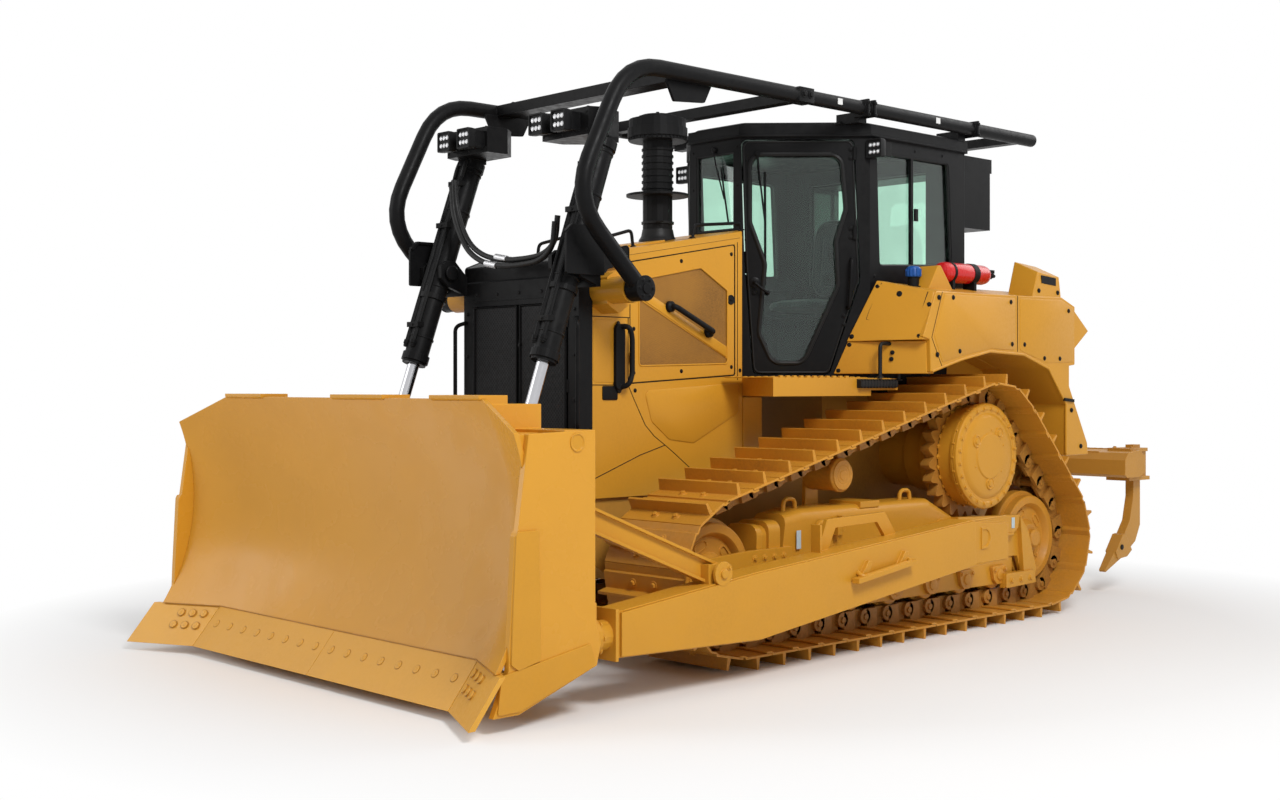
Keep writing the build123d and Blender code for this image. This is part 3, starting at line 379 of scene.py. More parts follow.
# ---- finishes
@dataclass(frozen=True)
class Nodes:
    """Short ways to add nodes to one tree.

    Args:
        tree: the material's or world's node tree.
    """

    tree: bpy.types.NodeTree

    def noise(self, place: Socket, scale: float, detail: float, rough: float) -> Socket:
        """Noise of a scale on the given coordinates."""
        node = self.tree.nodes.new("ShaderNodeTexNoise")
        self.tree.links.new(place, node.inputs["Vector"])
        for key, value in (("Scale", scale), ("Detail", detail), ("Roughness", rough)):
            node.inputs[key].default_value = value
        return node.outputs["Fac"]

    def ranged(self, value: Socket, a: float, b: float, low: float, high: float) -> Socket:
        """Map a value from a..b to low..high, held at the ends."""
        node = self.tree.nodes.new("ShaderNodeMapRange")
        self.tree.links.new(value, node.inputs["Value"])
        for key, number in (("From Min", a), ("From Max", b), ("To Min", low), ("To Max", high)):
            node.inputs[key].default_value = number
        return node.outputs["Result"]

    def math(self, operation: str, a: Socket, b: Socket | float | None = None) -> Socket:
        """One arithmetic step on a socket and a socket or number."""
        node = self.tree.nodes.new("ShaderNodeMath")
        node.operation = operation
        self.tree.links.new(a, node.inputs[0])
        if isinstance(b, (int, float)):
            node.inputs[1].default_value = b
        elif b is not None:
            self.tree.links.new(b, node.inputs[1])
        return node.outputs[0]

    def mix(self, mask: Socket, under: Socket | Sequence[float], over: Sequence[float]) -> Socket:
        """The colour under where the mask is nought, and the colour over where it is one."""
        node = self.tree.nodes.new("ShaderNodeMix")
        node.data_type = "RGBA"
        self.tree.links.new(mask, node.inputs["Factor"])
        if isinstance(under, Socket):
            self.tree.links.new(under, node.inputs[6])
        else:
            node.inputs[6].default_value = (*under, 1.0)
        node.inputs[7].default_value = (*over, 1.0)
        return node.outputs[2]

    def axes(self, place: Socket) -> tuple[Socket, ...]:
        """The three coordinates of a place."""
        node = self.tree.nodes.new("ShaderNodeSeparateXYZ")
        self.tree.links.new(place, node.inputs[0])
        return node.outputs["X"], node.outputs["Y"], node.outputs["Z"]


class Kind(Enum):
    """Ways in which a surface is finished."""

    PAINT = "paint"
    METAL = "metal"
    RUBBER = "rubber"
    GLASS = "glass"
    LAMP = "lamp"
    PIERCED = "pierced"
    CLOTH = "cloth"


@dataclass(frozen=True)
class Finish:
    """One finish of the machine.

    Args:
        name: the finish's name.
        slot: the record's material slot that it belongs to.
        kind: how the surface is made up.
        colour: linear colour.
        deep: linear colour in its worn or dusty places; on the darker brown and yellow copies of the paint, a
            painted shade.
        rough: roughness from nought to one.
        grain: size of the surface's grain, in waves to the metre.
        relief: height of that grain, in metres.
        edge: radius that the shading rounds edges with, in metres.
        dust: share of dust that settles low down, from nought to one.
        gloss: how strongly the bare surface mirrors, half being plain plastic.
        coat: weight of the clear coat.
    """

    name: str
    slot: str
    kind: Kind
    colour: tuple[float, float, float]
    deep: tuple[float, float, float]
    rough: float
    grain: float = 60.0
    relief: float = 0.0004
    edge: float = 0.004
    dust: float = 0.0
    gloss: float = 0.26
    coat: float = 0.0

    def material(self) -> bpy.types.Material:
        """The finish's material, made once."""
        known = bpy.data.materials.get(self.name)
        return known if known else self._made()

    def _made(self) -> bpy.types.Material:
        """Build the node tree: colour, roughness and relief vary with noise on Object coordinates."""
        material = bpy.data.materials.new(self.name)
        material.use_nodes = True
        tree = material.node_tree
        nodes = Nodes(tree)
        shader = tree.nodes["Principled BSDF"]
        place = tree.nodes.new("ShaderNodeTexCoord").outputs["Object"]
        fine = nodes.noise(place, self.grain, 3.0, 0.5)
        if self.kind is Kind.GLASS:
            self._glass(nodes, shader, fine)
            return material
        shade = self._colour(nodes, place, fine)
        tree.links.new(shade, shader.inputs["Base Color"])
        low, high = max(self.rough - 0.06, 0.02), min(self.rough + 0.12, 1.0)
        tree.links.new(nodes.ranged(fine, 0.3, 0.7, low, high), shader.inputs["Roughness"])
        shader.inputs["Metallic"].default_value = 1.0 if self.kind is Kind.METAL else 0.0
        shader.inputs["Specular IOR Level"].default_value = 0.5 if self.kind is Kind.METAL else self.gloss
        shader.inputs["Coat Weight"].default_value = self.coat
        shader.inputs["Coat Roughness"].default_value = 0.16
        if self.kind is Kind.LAMP:
            shader.inputs["Emission Color"].default_value = (*self.colour, 1.0)
            shader.inputs["Emission Strength"].default_value = 0.2
        if self.kind is Kind.CLOTH:
            shader.inputs["Sheen Weight"].default_value = 0.3
        self._relief(nodes, fine, shader)
        return material

    def _glass(self, nodes: Nodes, shader: bpy.types.Node, fine: Socket) -> None:
        """Clear tinted pane whose tint drifts with slow noise."""
        shader.inputs["Base Color"].default_value = (*self.colour, 1.0)
        shader.inputs["Transmission Weight"].default_value = 1.0
        shader.inputs["IOR"].default_value = 1.45
        shader.inputs["Roughness"].default_value = self.rough
        nodes.tree.links.new(nodes.mix(nodes.ranged(fine, 0.3, 0.7, 0.0, 1.0), self.colour, self.deep),
            shader.inputs["Base Color"])

    def _colour(self, nodes: Nodes, place: Socket, fine: Socket) -> Socket:
        """Colour with cloudy wear and specks, dust low down, a painted highlight on edges, and holes or
        weave.
        """
        cloud = nodes.ranged(nodes.noise(place, 1.7, 6.0, 0.62), 0.4, 0.72, 0.0, 1.0)
        speck = nodes.ranged(fine, 0.32, 0.72, 0.25, 1.0)
        shade = nodes.mix(nodes.math("MULTIPLY", cloud, speck), self.colour, self.deep)
        if self.dust:
            low = nodes.ranged(nodes.axes(place)[2], 0.05, 1.3, self.dust, 0.0)
            drift = nodes.ranged(nodes.noise(place, 6.0, 6.0, 0.7), 0.35, 0.65, 0.0, 1.0)
            shade = nodes.mix(nodes.math("MULTIPLY", low, drift), shade, (0.34, 0.23, 0.12))
        if self.kind is Kind.PAINT:
            # Edges painted lighter in the same hue: a painted highlight.
            shade = nodes.mix(self._edge_highlight_mask(nodes), shade, tuple(min(1.0, c * 1.35 + 0.01)
                for c in self.colour))
        if self.kind is Kind.PIERCED:
            shade = nodes.mix(self._holes(nodes, place), shade, self.deep)
        if self.kind is Kind.CLOTH:
            shade = nodes.mix(self._weave(nodes, place), shade, self.deep)
        return shade

    def _edge_highlight_mask(self, nodes: Nodes) -> Socket:
        """Where the rounded normal leaves the face's own: the edges, painted lighter as a highlight."""
        tree = nodes.tree
        soft = tree.nodes.new("ShaderNodeBevel")
        soft.samples = 4
        soft.inputs["Radius"].default_value = self.edge * 1.5
        own = tree.nodes.new("ShaderNodeNewGeometry")
        dot = tree.nodes.new("ShaderNodeVectorMath")
        dot.operation = "DOT_PRODUCT"
        tree.links.new(soft.outputs["Normal"], dot.inputs[0])
        tree.links.new(own.outputs["Normal"], dot.inputs[1])
        return nodes.ranged(dot.outputs["Value"], 0.985, 0.8, 0.0, 0.5)

    def _holes(self, nodes: Nodes, place: Socket) -> Socket:
        """Round holes in staggered rows: where two waves, one along the sheet and one up it, both peak."""
        x, y, z = nodes.axes(place)
        along = nodes.math("MULTIPLY", nodes.math("ADD", x, y), 2 * math.pi * self.grain)
        up = nodes.math("MULTIPLY", z, 2 * math.pi * self.grain)
        peaks = nodes.math("MULTIPLY", nodes.math("SINE", along), nodes.math("SINE", up))
        return nodes.ranged(peaks, 0.12, 0.3, 0.0, 1.0)

    def _weave(self, nodes: Nodes, place: Socket) -> Socket:
        """Threads that pass over and under: the product of two diagonal waves."""
        x, y, z = nodes.axes(place)
        a = nodes.math("MULTIPLY", nodes.math("ADD", nodes.math("ADD", x, y), z), 2 * math.pi * self.grain)
        b = nodes.math("MULTIPLY", nodes.math("SUBTRACT", nodes.math("ADD", y, z), x),
            2 * math.pi * self.grain)
        return nodes.ranged(nodes.math("MULTIPLY", nodes.math("SINE", a), nodes.math("SINE", b)), -0.3, 0.6,
            0.0, 1.0)

    def _relief(self, nodes: Nodes, fine: Socket, shader: bpy.types.Node) -> None:
        """Rounded edges, then the grain's relief on top."""
        tree = nodes.tree
        soft = tree.nodes.new("ShaderNodeBevel")
        soft.samples = 4
        soft.inputs["Radius"].default_value = self.edge
        bump = tree.nodes.new("ShaderNodeBump")
        bump.inputs["Strength"].default_value = 0.35
        bump.inputs["Distance"].default_value = self.relief
        tree.links.new(soft.outputs["Normal"], bump.inputs["Normal"])
        tree.links.new(fine, bump.inputs["Height"])
        tree.links.new(bump.outputs["Normal"], shader.inputs["Normal"])


YELLOW = Finish("yellow_enamel", "yellow_paint", Kind.PAINT, (0.59, 0.276, 0.022), (0.53, 0.248, 0.022), 0.36,
    dust=0.04, gloss=0.2, coat=0.06)
BLADE_YELLOW = Finish("blade_enamel", "yellow_paint", Kind.PAINT, (0.64, 0.3, 0.026), (0.59, 0.276, 0.026),
    0.24, grain=5.0, relief=0.0002, dust=0.0, gloss=0.22, coat=0.12)
EDGE_YELLOW = Finish("edge_enamel", "edge_yellow", Kind.PAINT, (0.7, 0.35, 0.04), (0.64, 0.318, 0.04), 0.34,
    relief=0.0006, dust=0.05, coat=0.1)
TRACK_YELLOW = Finish("track_enamel", "track_yellow", Kind.PAINT, (0.58, 0.255, 0.022), (0.4, 0.175, 0.022),
    0.4, relief=0.0009, dust=0.2)
# Darker brown copy of the yellow paint. It is painted shade on the links, the sprocket's teeth and the
# track_yellow frame nodes, and the dark line of the blade's seams and bolt rims.
SHADE_AND_SEAM_BROWN = Finish("shade_and_seam_enamel", "track_yellow", Kind.PAINT, (0.43, 0.19, 0.026), (0.2, 0.092, 0.02), 0.44,
    relief=0.001, dust=0.2)
# A darker copy of the yellow paint: painted shade on the main frame under the deck and on the ripper.
SHADED_YELLOW = Finish("shaded_yellow_enamel", "yellow_paint", Kind.PAINT, (0.5, 0.238, 0.034), (0.38, 0.18, 0.03),
    0.4, relief=0.0007, dust=0.1)
BLACK = Finish("black_enamel", "black_paint", Kind.PAINT, (0.0062, 0.0062, 0.0066), (0.012, 0.0118, 0.0115),
    0.36, grain=25.0, relief=0.0002, gloss=0.08)
SATIN_BLACK = Finish("frame_black_enamel", "frame_black", Kind.PAINT, (0.007, 0.007, 0.0074),
    (0.016, 0.015, 0.013), 0.5, dust=0.1, gloss=0.1)
PLASTIC = Finish("moulded_black", "black_plastic", Kind.RUBBER, (0.007, 0.007, 0.0074), (0.013, 0.013, 0.013),
    0.46, grain=220.0, relief=0.0006, gloss=0.1)
HOSE = Finish("hose_rubber", "black_plastic", Kind.RUBBER, (0.008, 0.008, 0.008), (0.018, 0.018, 0.018), 0.42,
    grain=160.0, relief=0.0008, edge=0.001, gloss=0.2)
STEEL = Finish("bright_fitting", "rod_chrome", Kind.METAL, (0.55, 0.55, 0.56), (0.4, 0.4, 0.41), 0.26,
    grain=180.0)
CHROME = Finish("rod_plating", "rod_chrome", Kind.METAL, (0.52, 0.52, 0.54), (0.44, 0.44, 0.46), 0.12,
    grain=300.0, relief=0.00005)
PANE = Finish("cab_glazing", "glass", Kind.GLASS, (0.66, 0.88, 0.77), (0.6, 0.8, 0.7), 0.0, grain=2.5)
LENS = Finish("lamp_lens", "glass", Kind.LAMP, (0.8, 0.81, 0.83), (0.62, 0.63, 0.65), 0.12, grain=90.0)
REFLECTOR = Finish("lamp_reflector", "rod_chrome", Kind.METAL, (0.45, 0.45, 0.46), (0.25, 0.25, 0.25), 0.25)
PIERCED = Finish("pierced_sheet", "black_paint", Kind.PIERCED, (0.016, 0.016, 0.017),
    (0.0012, 0.0012, 0.0012), 0.5, grain=42.0, gloss=0.14)
DOOR_GRID = Finish("door_grid", "yellow_paint", Kind.PIERCED, (0.4, 0.18, 0.022), (0.11, 0.05, 0.011), 0.45,
    grain=95.0)
TRIM = Finish("cab_trim", "trim", Kind.RUBBER, (0.018, 0.019, 0.021), (0.024, 0.024, 0.027), 0.7, grain=40.0,
    relief=0.0001, gloss=0.05)
SEAT_CLOTH = Finish("seat_cloth", "trim", Kind.CLOTH, (0.04, 0.042, 0.048), (0.014, 0.014, 0.017), 0.85,
    grain=160.0)
RED = Finish("extinguisher_red", "yellow_paint", Kind.PAINT, (0.58, 0.01, 0.012), (0.44, 0.01, 0.01), 0.22,
    coat=0.3)
BLUE = Finish("filler_cap_blue", "black_plastic", Kind.RUBBER, (0.01, 0.085, 0.34), (0.01, 0.06, 0.24), 0.36)
LABEL = Finish("blank_plate", "black_plastic", Kind.RUBBER, (0.5, 0.6, 0.63), (0.4, 0.47, 0.5), 0.4)
WHITE = Finish("white_square", "black_plastic", Kind.RUBBER, (0.7, 0.7, 0.69), (0.58, 0.58, 0.56), 0.4)

# Nodes of the track_yellow slot take the brown copy of the yellow, painted shade.
SLOT_FINISH = {"yellow_paint": YELLOW, "engine_yellow": YELLOW, "black_paint": BLACK,
    "frame_black": SATIN_BLACK, "glass": PANE, "trim": TRIM, "black_plastic": PLASTIC, "rod_chrome": CHROME,
    "edge_yellow": EDGE_YELLOW, "track_yellow": SHADE_AND_SEAM_BROWN,}
# The main frame and the ripper's pieces take the darker yellow copy, which is painted shade.
NODE_FINISH = {"blade": BLADE_YELLOW, "ripper_beam": SHADED_YELLOW, "ripper_frame": SHADED_YELLOW,
    "main_frame": SHADED_YELLOW, "ripper_lower_links": SHADED_YELLOW, "ripper_upper_link": SHADED_YELLOW,
    "ripper_barrels": SHADED_YELLOW, "ripper_shanks": SHADED_YELLOW, "decks": YELLOW, "lift_yokes": BLACK,}


def dress_frame() -> None:
    """Give every node of the frame its listed finish, or else the finish of its slot in the record."""
    slots = {part["node"]: part["material_slot"] for part in frame["record"]["subparts"]}
    for name, node in frame["nodes"].items():
        node.data.materials.clear()
        node.data.materials.append(NODE_FINISH.get(name, SLOT_FINISH[slots[name]]).material())


# ---- tracks
@dataclass
class Tracks:
    """Both tracks: shoes with one grouser on two rows of pinned links, round the idlers and the sprocket.

    Args:
        wheels: station, height and pitch radius of the front idler, sprocket and rear idler.
        shoe_in: width where a shoe starts.
        shoe_out: width where it ends.
        shoes: how many shoes there are in the loop.
    """

    wheels: tuple[tuple[float, float, float], ...] = mm("2050 500 355, 4500 1075 400, 5130 500 355")
    shoe_in: float = 0.69
    shoe_out: float = 1.3
    shoes: int = 41
    plate_low: float = 0.068
    plate: float = 0.012
    grouser: float = 0.065
    row_middles: Pair = (0.92, 1.07)

    def stretches(self) -> list[tuple[float, Array, float, tuple[float, float, float] | None]]:
        """Straight runs and arcs of the pitch line: length, start, heading and, on an arc, its wheel."""
        ends = []
        for a, b in zip(self.wheels, self.wheels[1:] + self.wheels[:1]):
            gap = np.array(b[:2]) - np.array(a[:2])
            angle = math.atan2(gap[1], gap[0]) + math.acos((a[2] - b[2]) / np.linalg.norm(gap))
            normal = np.array([math.cos(angle), math.sin(angle)])
            ends.append((np.array(a[:2]) + a[2] * normal, np.array(b[:2]) + b[2] * normal))
        out = []
        for k, (start, end) in enumerate(ends):
            run, wheel, nxt = end - start, self.wheels[(k + 1) % 3], ends[(k + 1) % 3]
            heading = math.atan2(run[1], run[0])
            after = math.atan2(nxt[1][1] - nxt[0][1], nxt[1][0] - nxt[0][0])
            out.append((float(np.linalg.norm(run)), start, heading, None))
            out.append(((heading - after) % (2 * math.pi) * wheel[2], end, heading, wheel))
        return out

    def joints(self) -> Array:
        """Pin places on the pitch line, evenly spaced: rows of station and height."""
        runs = self.stretches()
        total = sum(run[0] for run in runs)
        s = np.arange(self.shoes) * total / self.shoes
        out, begin = np.zeros((self.shoes, 2)), 0.0
        for length, start, heading, wheel in runs:
            inside = (s >= begin) & (s < begin + length)
            d = s[inside] - begin
            if wheel is None:
                out[inside] = start + d[:, None] * np.array([math.cos(heading), math.sin(heading)])
            else:
                h = heading - d / wheel[2]
                out[inside] = np.array(wheel[:2]) + wheel[2] * np.column_stack([-np.sin(h), np.cos(h)])
            begin += length
        return out

    def shoe(self, pitch: float) -> Shell:
        """One shoe in its own axes: X across, Y along the track, Z outwards from the pitch line."""
        low, top = self.plate_low, self.plate_low + self.plate
        back = pitch * 0.5 - 0.004
        profile = np.array([(-back, low), (back - 0.012, low), (back + 0.008, low - 0.012),
            (back + 0.046, low - 0.012), (back + 0.046, low - 0.002), (back + 0.006, low - 0.002),
            (back, top), (-back, top)])
        plate = self.swept(profile)
        half, tip = 0.013, 0.0075
        x0, x1 = self.shoe_in + 0.006, self.shoe_out - 0.006
        z0, z1 = top - 0.002, top + self.grouser
        face = np.array([(x0, z0), (x1, z0), (x1, z1), (x0, z1)])
        lean = half - (half - tip) * (face[:, 1] - z0) / (z1 - z0)
        front = np.column_stack([face[:, 0], -lean, face[:, 1]])
        rear = np.column_stack([face[:, 0], lean, face[:, 1]])
        rib = lofted(np.stack([rear, front]))
        x, y = np.meshgrid([self.row_middles[0] - 0.004, self.row_middles[1] + 0.004], [-0.052, 0.052])
        places = np.column_stack([x.ravel(), y.ravel() + 0.004, np.full(4, top)])
        heads = bolts(places, UP, 0.0155, 0.016)
        return join(plate, rib, heads)

    def swept(self, profile: Array) -> Shell:
        """A shoe plate: its profile carried straight across the track."""
        ring = np.column_stack([np.zeros(len(profile)), anticlockwise(profile)])
        return lofted(np.stack([ring + [self.shoe_in, 0, 0], ring + [self.shoe_out, 0, 0]]))

    def link(self, pitch: float) -> Shell:
        """The two links under one shoe, each of an inner and an outer lug, with the pin and bushing."""
        parts = []
        for middle, sign in zip(self.row_middles, (-1, 1)):
            for shift, side in ((-0.5, -1), (0.5, 1)):
                x0 = middle + sign * (0.0125 if side > 0 else -0.0125)
                a = np.linspace(0, 2 * np.pi, 12, endpoint=False)
                lug = np.column_stack([shift * pitch + 0.046 * np.cos(a), 0.046 * np.sin(a) - 0.002])
                waist = np.array([(0, -0.046), (0, self.plate_low), (shift * pitch * 0.86, self.plate_low),
                    (shift * pitch * 0.9, -0.046)])
                for flat in (lug, waist):
                    ring = np.column_stack([np.zeros(len(flat)), anticlockwise(flat)])
                    parts.append(lofted(np.stack([ring + [x0 - 0.0125, 0, 0], ring + [x0 + 0.0125, 0, 0]])))
        foot = np.array([self.row_middles[0] - 0.034, -0.5 * pitch, 0])
        width = self.row_middles[1] - self.row_middles[0] + 0.068
        parts.append(turned(((0, 0.019), (width, 0.019)), foot, LEFT, 12))
        inner = np.array([self.row_middles[0] + 0.02, -0.5 * pitch, 0])
        parts.append(turned(((0, 0.031), (width - 0.108, 0.031)), inner, LEFT, 12))
        return join(*parts)

    def loops(self) -> tuple[Shell, Shell]:
        """All shoes and all links of the left track, each turned along its chord."""
        pins = self.joints()
        ahead = np.roll(pins, -1, 0)
        chord = ahead - pins
        pitch = float(np.linalg.norm(chord, axis=1).mean())
        along = chord / np.linalg.norm(chord, axis=1)[:, None]
        turns = np.zeros((self.shoes, 3, 3))
        turns[:, 0, 0] = 1.0
        turns[:, 1:, 1] = along
        turns[:, 1, 2], turns[:, 2, 2] = -along[:, 1], along[:, 0]
        middle = (pins + ahead) / 2
        places = np.column_stack([np.zeros(self.shoes), middle[:, 0] + NOSE, middle[:, 1]])
        return copies(self.shoe(pitch), places, turns), copies(self.link(pitch), places, turns)

    def make(self) -> None:
        """Build the left and right tracks in place of their plain loops."""
        shoes, links = self.loops()
        for side, turn in SIDES:
            treads = build(f"track_shoes_{side}", turn(shoes), TRACK_YELLOW, "tractor", crease=30)
            # The links take the brown copy of the yellow, painted shade under the shoes.
            chain = build(f"track_links_{side}", turn(links), SHADE_AND_SEAM_BROWN, "tractor", crease=30)
            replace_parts(treads, f"track_{side}")
            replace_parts(chain, f"track_{side}")


# ---- undercarriage
@dataclass(frozen=True)
class Wheels:
    """Idlers, rollers and final drives, which stand for the frame's plain ones.

    Args:
        idlers: station and height of the front and rear idler.
        idler_radius: radius of their treads.
        sprocket: station and height of the final drive.
        pitch_radius: radius of the track's pins round the sprocket.
        roller_height: height of the lower rollers.
        roller_stations: their stations.
        carrier: station and height of the upper roller.
    """

    idlers: Rows = mm("2050 500, 5130 500")
    idler_radius: float = 0.284
    sprocket: Pair = (4.5, 1.075)
    pitch_radius: float = 0.4
    roller_height: float = 0.293
    roller_stations: tuple[float, ...] = tuple(2.49 + 0.365 * k for k in range(7))
    carrier: Pair = (3.114, 1.003)

    def idler(self, station: float, z: float) -> Shell:
        """Wheel with two treads and a middle flange, its dished faces and a bearing cap on the shaft."""
        r = self.idler_radius
        profile = ((0.845, 0.05), (0.852, 0.058), (0.886, 0.06), (0.886, 0.095), (0.902, 0.11), (0.93, 0.125),
            (0.934, r - 0.075), (0.9, r - 0.058), (0.892, r - 0.05), (0.892, r - 0.008), (0.898, r),
            (0.955, r), (0.96, r + 0.026), (0.966, r + 0.03), (1.024, r + 0.03), (1.03, r + 0.026),
            (1.035, r), (1.092, r), (1.098, r - 0.008), (1.098, r - 0.05), (1.09, r - 0.058),
            (1.056, r - 0.075), (1.06, 0.125), (1.088, 0.11), (1.104, 0.095), (1.104, 0.06), (1.138, 0.058),
            (1.145, 0.05))
        return turned(profile, at(0, station, z), LEFT, 64)

    def webs(self, station: float, z: float) -> Shell:
        """Oblong windows' raised rims on an idler's outer face, five round the hub."""
        slot = rounded(mm("-52 -26, 52 -26, 52 26, -52 26"), 0.026, 7)
        hole = slot * [0.86, 0.74]
        rings = []
        for k in range(5):
            a = 2 * math.pi * (k + 0.3) / 5
            turn = np.array([[math.cos(a), -math.sin(a)], [math.sin(a), math.cos(a)]])
            centre = turn @ np.array([0.0, 0.168])
            outer, inner = slot @ turn.T + centre, hole @ turn.T + centre
            levels = ((outer, 1.056), (outer, 1.064), (inner, 1.064), (inner, 1.054))
            rings.append(lofted(np.stack([np.column_stack([np.full(len(f), x), f[:, 0] + station + NOSE,
                f[:, 1] + z]) for f, x in levels])))
        return join(*rings)

    def roller(self, station: float) -> Shell:
        """Double-flanged lower roller between its two bolted end collars."""
        profile = mm("858 50, 882 52, 884 90, 890 95, 946 95, 950 111, 956 114, 976 114, 982 104, 1008 104, "
            "1014 114, 1034 114, 1040 111, 1044 95, 1100 95, 1106 90, 1108 52, 1132 50, 1136 40")
        return turned(profile, at(0, station, self.roller_height), LEFT, 40)

    def collars(self) -> Shell:
        """Bolted blocks that hold the rollers' shafts to the frame, outside each roller."""
        blocks = []
        for s in self.roller_stations:
            flat = rounded(((s - 0.085, 0.352), (s + 0.085, 0.352), (s + 0.06, 0.262), (s + 0.028, 0.232),
                (s - 0.028, 0.232), (s - 0.06, 0.262)), 0.016, 4)
            blocks.append(across(flat, 1.134, 1.158))
            blocks.append(bolts(spots([(1.158, s + d, h) for d in (-0.058, 0.058) for h in (0.33,)]), LEFT,
                0.013, 0.014))
            blocks.append(turned(mm("0 36, 10 34, 12 28"), at(1.156, s, self.roller_height), LEFT, 24))
        return join(*blocks)

    def carrier_roller(self) -> Shell:
        """Upper roller with a flat cap marked by two shallow rings."""
        profile = mm("858 40, 888 40, 890 90, 894 94, 1086 94, 1090 100, 1112 100, 1118 95, 1122 88, "
            "1128 86, 1128 58, 1126.5 56, 1126.5 52, 1128 50, 1128 30, 1131 28, 1131 12")
        return turned(profile, at(0, *self.carrier), LEFT, 44)

    def rim(self) -> Shell:
        """Toothed rim in segments: 25 teeth with round roots between the bushings."""
        teeth, per = 25, 8
        k = np.arange(teeth * per)
        phase = (k % per) / per
        lift = 0.5 + 0.5 * np.cos(2 * np.pi * phase)
        radius = self.pitch_radius - 0.04 + 0.06 * lift ** 0.8
        a = 2 * np.pi * k / (teeth * per)
        flat = np.column_stack([self.sprocket[0] + radius * np.cos(a), self.sprocket[1] + radius * np.sin(a)])
        hub = np.column_stack([self.sprocket[0] + 0.3 * np.cos(a), self.sprocket[1] + 0.3 * np.sin(a)])
        levels = ((hub, 0.968), (flat, 0.96), (flat, 1.03), (hub, 1.022))
        rings = np.stack([np.column_stack([np.full(len(f), x), f[:, 0] + NOSE, f[:, 1]]) for f, x in levels])
        return lofted(rings)

    def cover(self) -> Shell:
        """Final drive's drum and its cover, stepped and rounded like the cast one."""
        profile = mm("475 215, 690 222, 700 245, 860 250, 864 300, 960 302, 1030 302, 1034 326, 1128 330, "
            "1132 338, 1150 340, 1152 334, 1156 334, 1158 340, 1178 338, 1186 330, 1190 318, 1190 300, "
            "1184 292, 1184 276, 1196 262, 1202 240, 1204 150, 1207 148, 1212 142, 1212 20")
        return turned(profile, at(0, *self.sprocket), LEFT, 96)

    def cover_fittings(self) -> Shell:
        """Rim bolts, the notched lip, three plug bosses and a raised three-armed rib on the drive's cover."""
        s, z = self.sprocket
        outer = bolts(circle(1.189, s, z, 0.309, 24, 0.13), LEFT, 0.011, 0.01)
        inner = bolts(circle(1.0315, s, z, 0.318, 30), LEFT, 0.011, 0.016)
        small = bolts(circle(1.203, s, z, 0.168, 6, 0.4), LEFT, 0.006, 0.005)
        bosses = []
        for turn in (0.95, 2.55, 4.71):
            place = at(1.202, s + 0.176 * math.cos(turn), z + 0.176 * math.sin(turn))
            bosses.append(turned(mm("0 42, 8 40, 11 34, 6 30, 6 22, 12 20, 14 12"), place, LEFT, 26))
        ribs = []
        for turn in (1.75, 0.15, 3.35):
            a = np.linspace(turn - 0.42, turn + 0.42, 14)
            path = spots(np.column_stack([np.full(14, 1.204), s + 0.128 * np.cos(a), z + 0.128 * np.sin(a)]))
            ribs.append(piped(path, 0.007, 8))
        a = np.linspace(0, 2 * np.pi, 24, endpoint=False)
        lip = copies(turned(mm("0 8, 16 6"), np.zeros(3), LEFT, 8), spots(np.column_stack([np.full(24, 1.146),
            s + 0.338 * np.cos(a), z + 0.338 * np.sin(a)])))
        return join(outer, inner, small, *bosses, *ribs, lip)

    def make(self) -> None:
        """Build the wheels of both sides in place of the frame's."""
        wheels = join(*[self.idler(*place) for place in self.idlers],
            *[self.webs(*place) for place in self.idlers], *[self.roller(s) for s in self.roller_stations],
            self.carrier_roller())
        drive = join(self.cover(), self.cover_fittings())
        for side, turn in SIDES:
            running = build(f"rollers_and_idlers_{side}", turn(wheels), TRACK_YELLOW, "tractor", crease=28)
            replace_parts(running, f"running_wheels_{side}")
            build(f"roller_collars_{side}", turn(self.collars()), TRACK_YELLOW, "tractor", 0.002)
            case = build(f"final_drive_{side}", turn(drive), YELLOW, "tractor", crease=28)
            # The sprocket's teeth take the brown copy of the yellow, painted shade.
            teeth = build(f"sprocket_rim_{side}", turn(self.rim()), SHADE_AND_SEAM_BROWN, "tractor", crease=40)
            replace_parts(case, f"sprocket_{side}")
            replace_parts(teeth, f"sprocket_{side}")


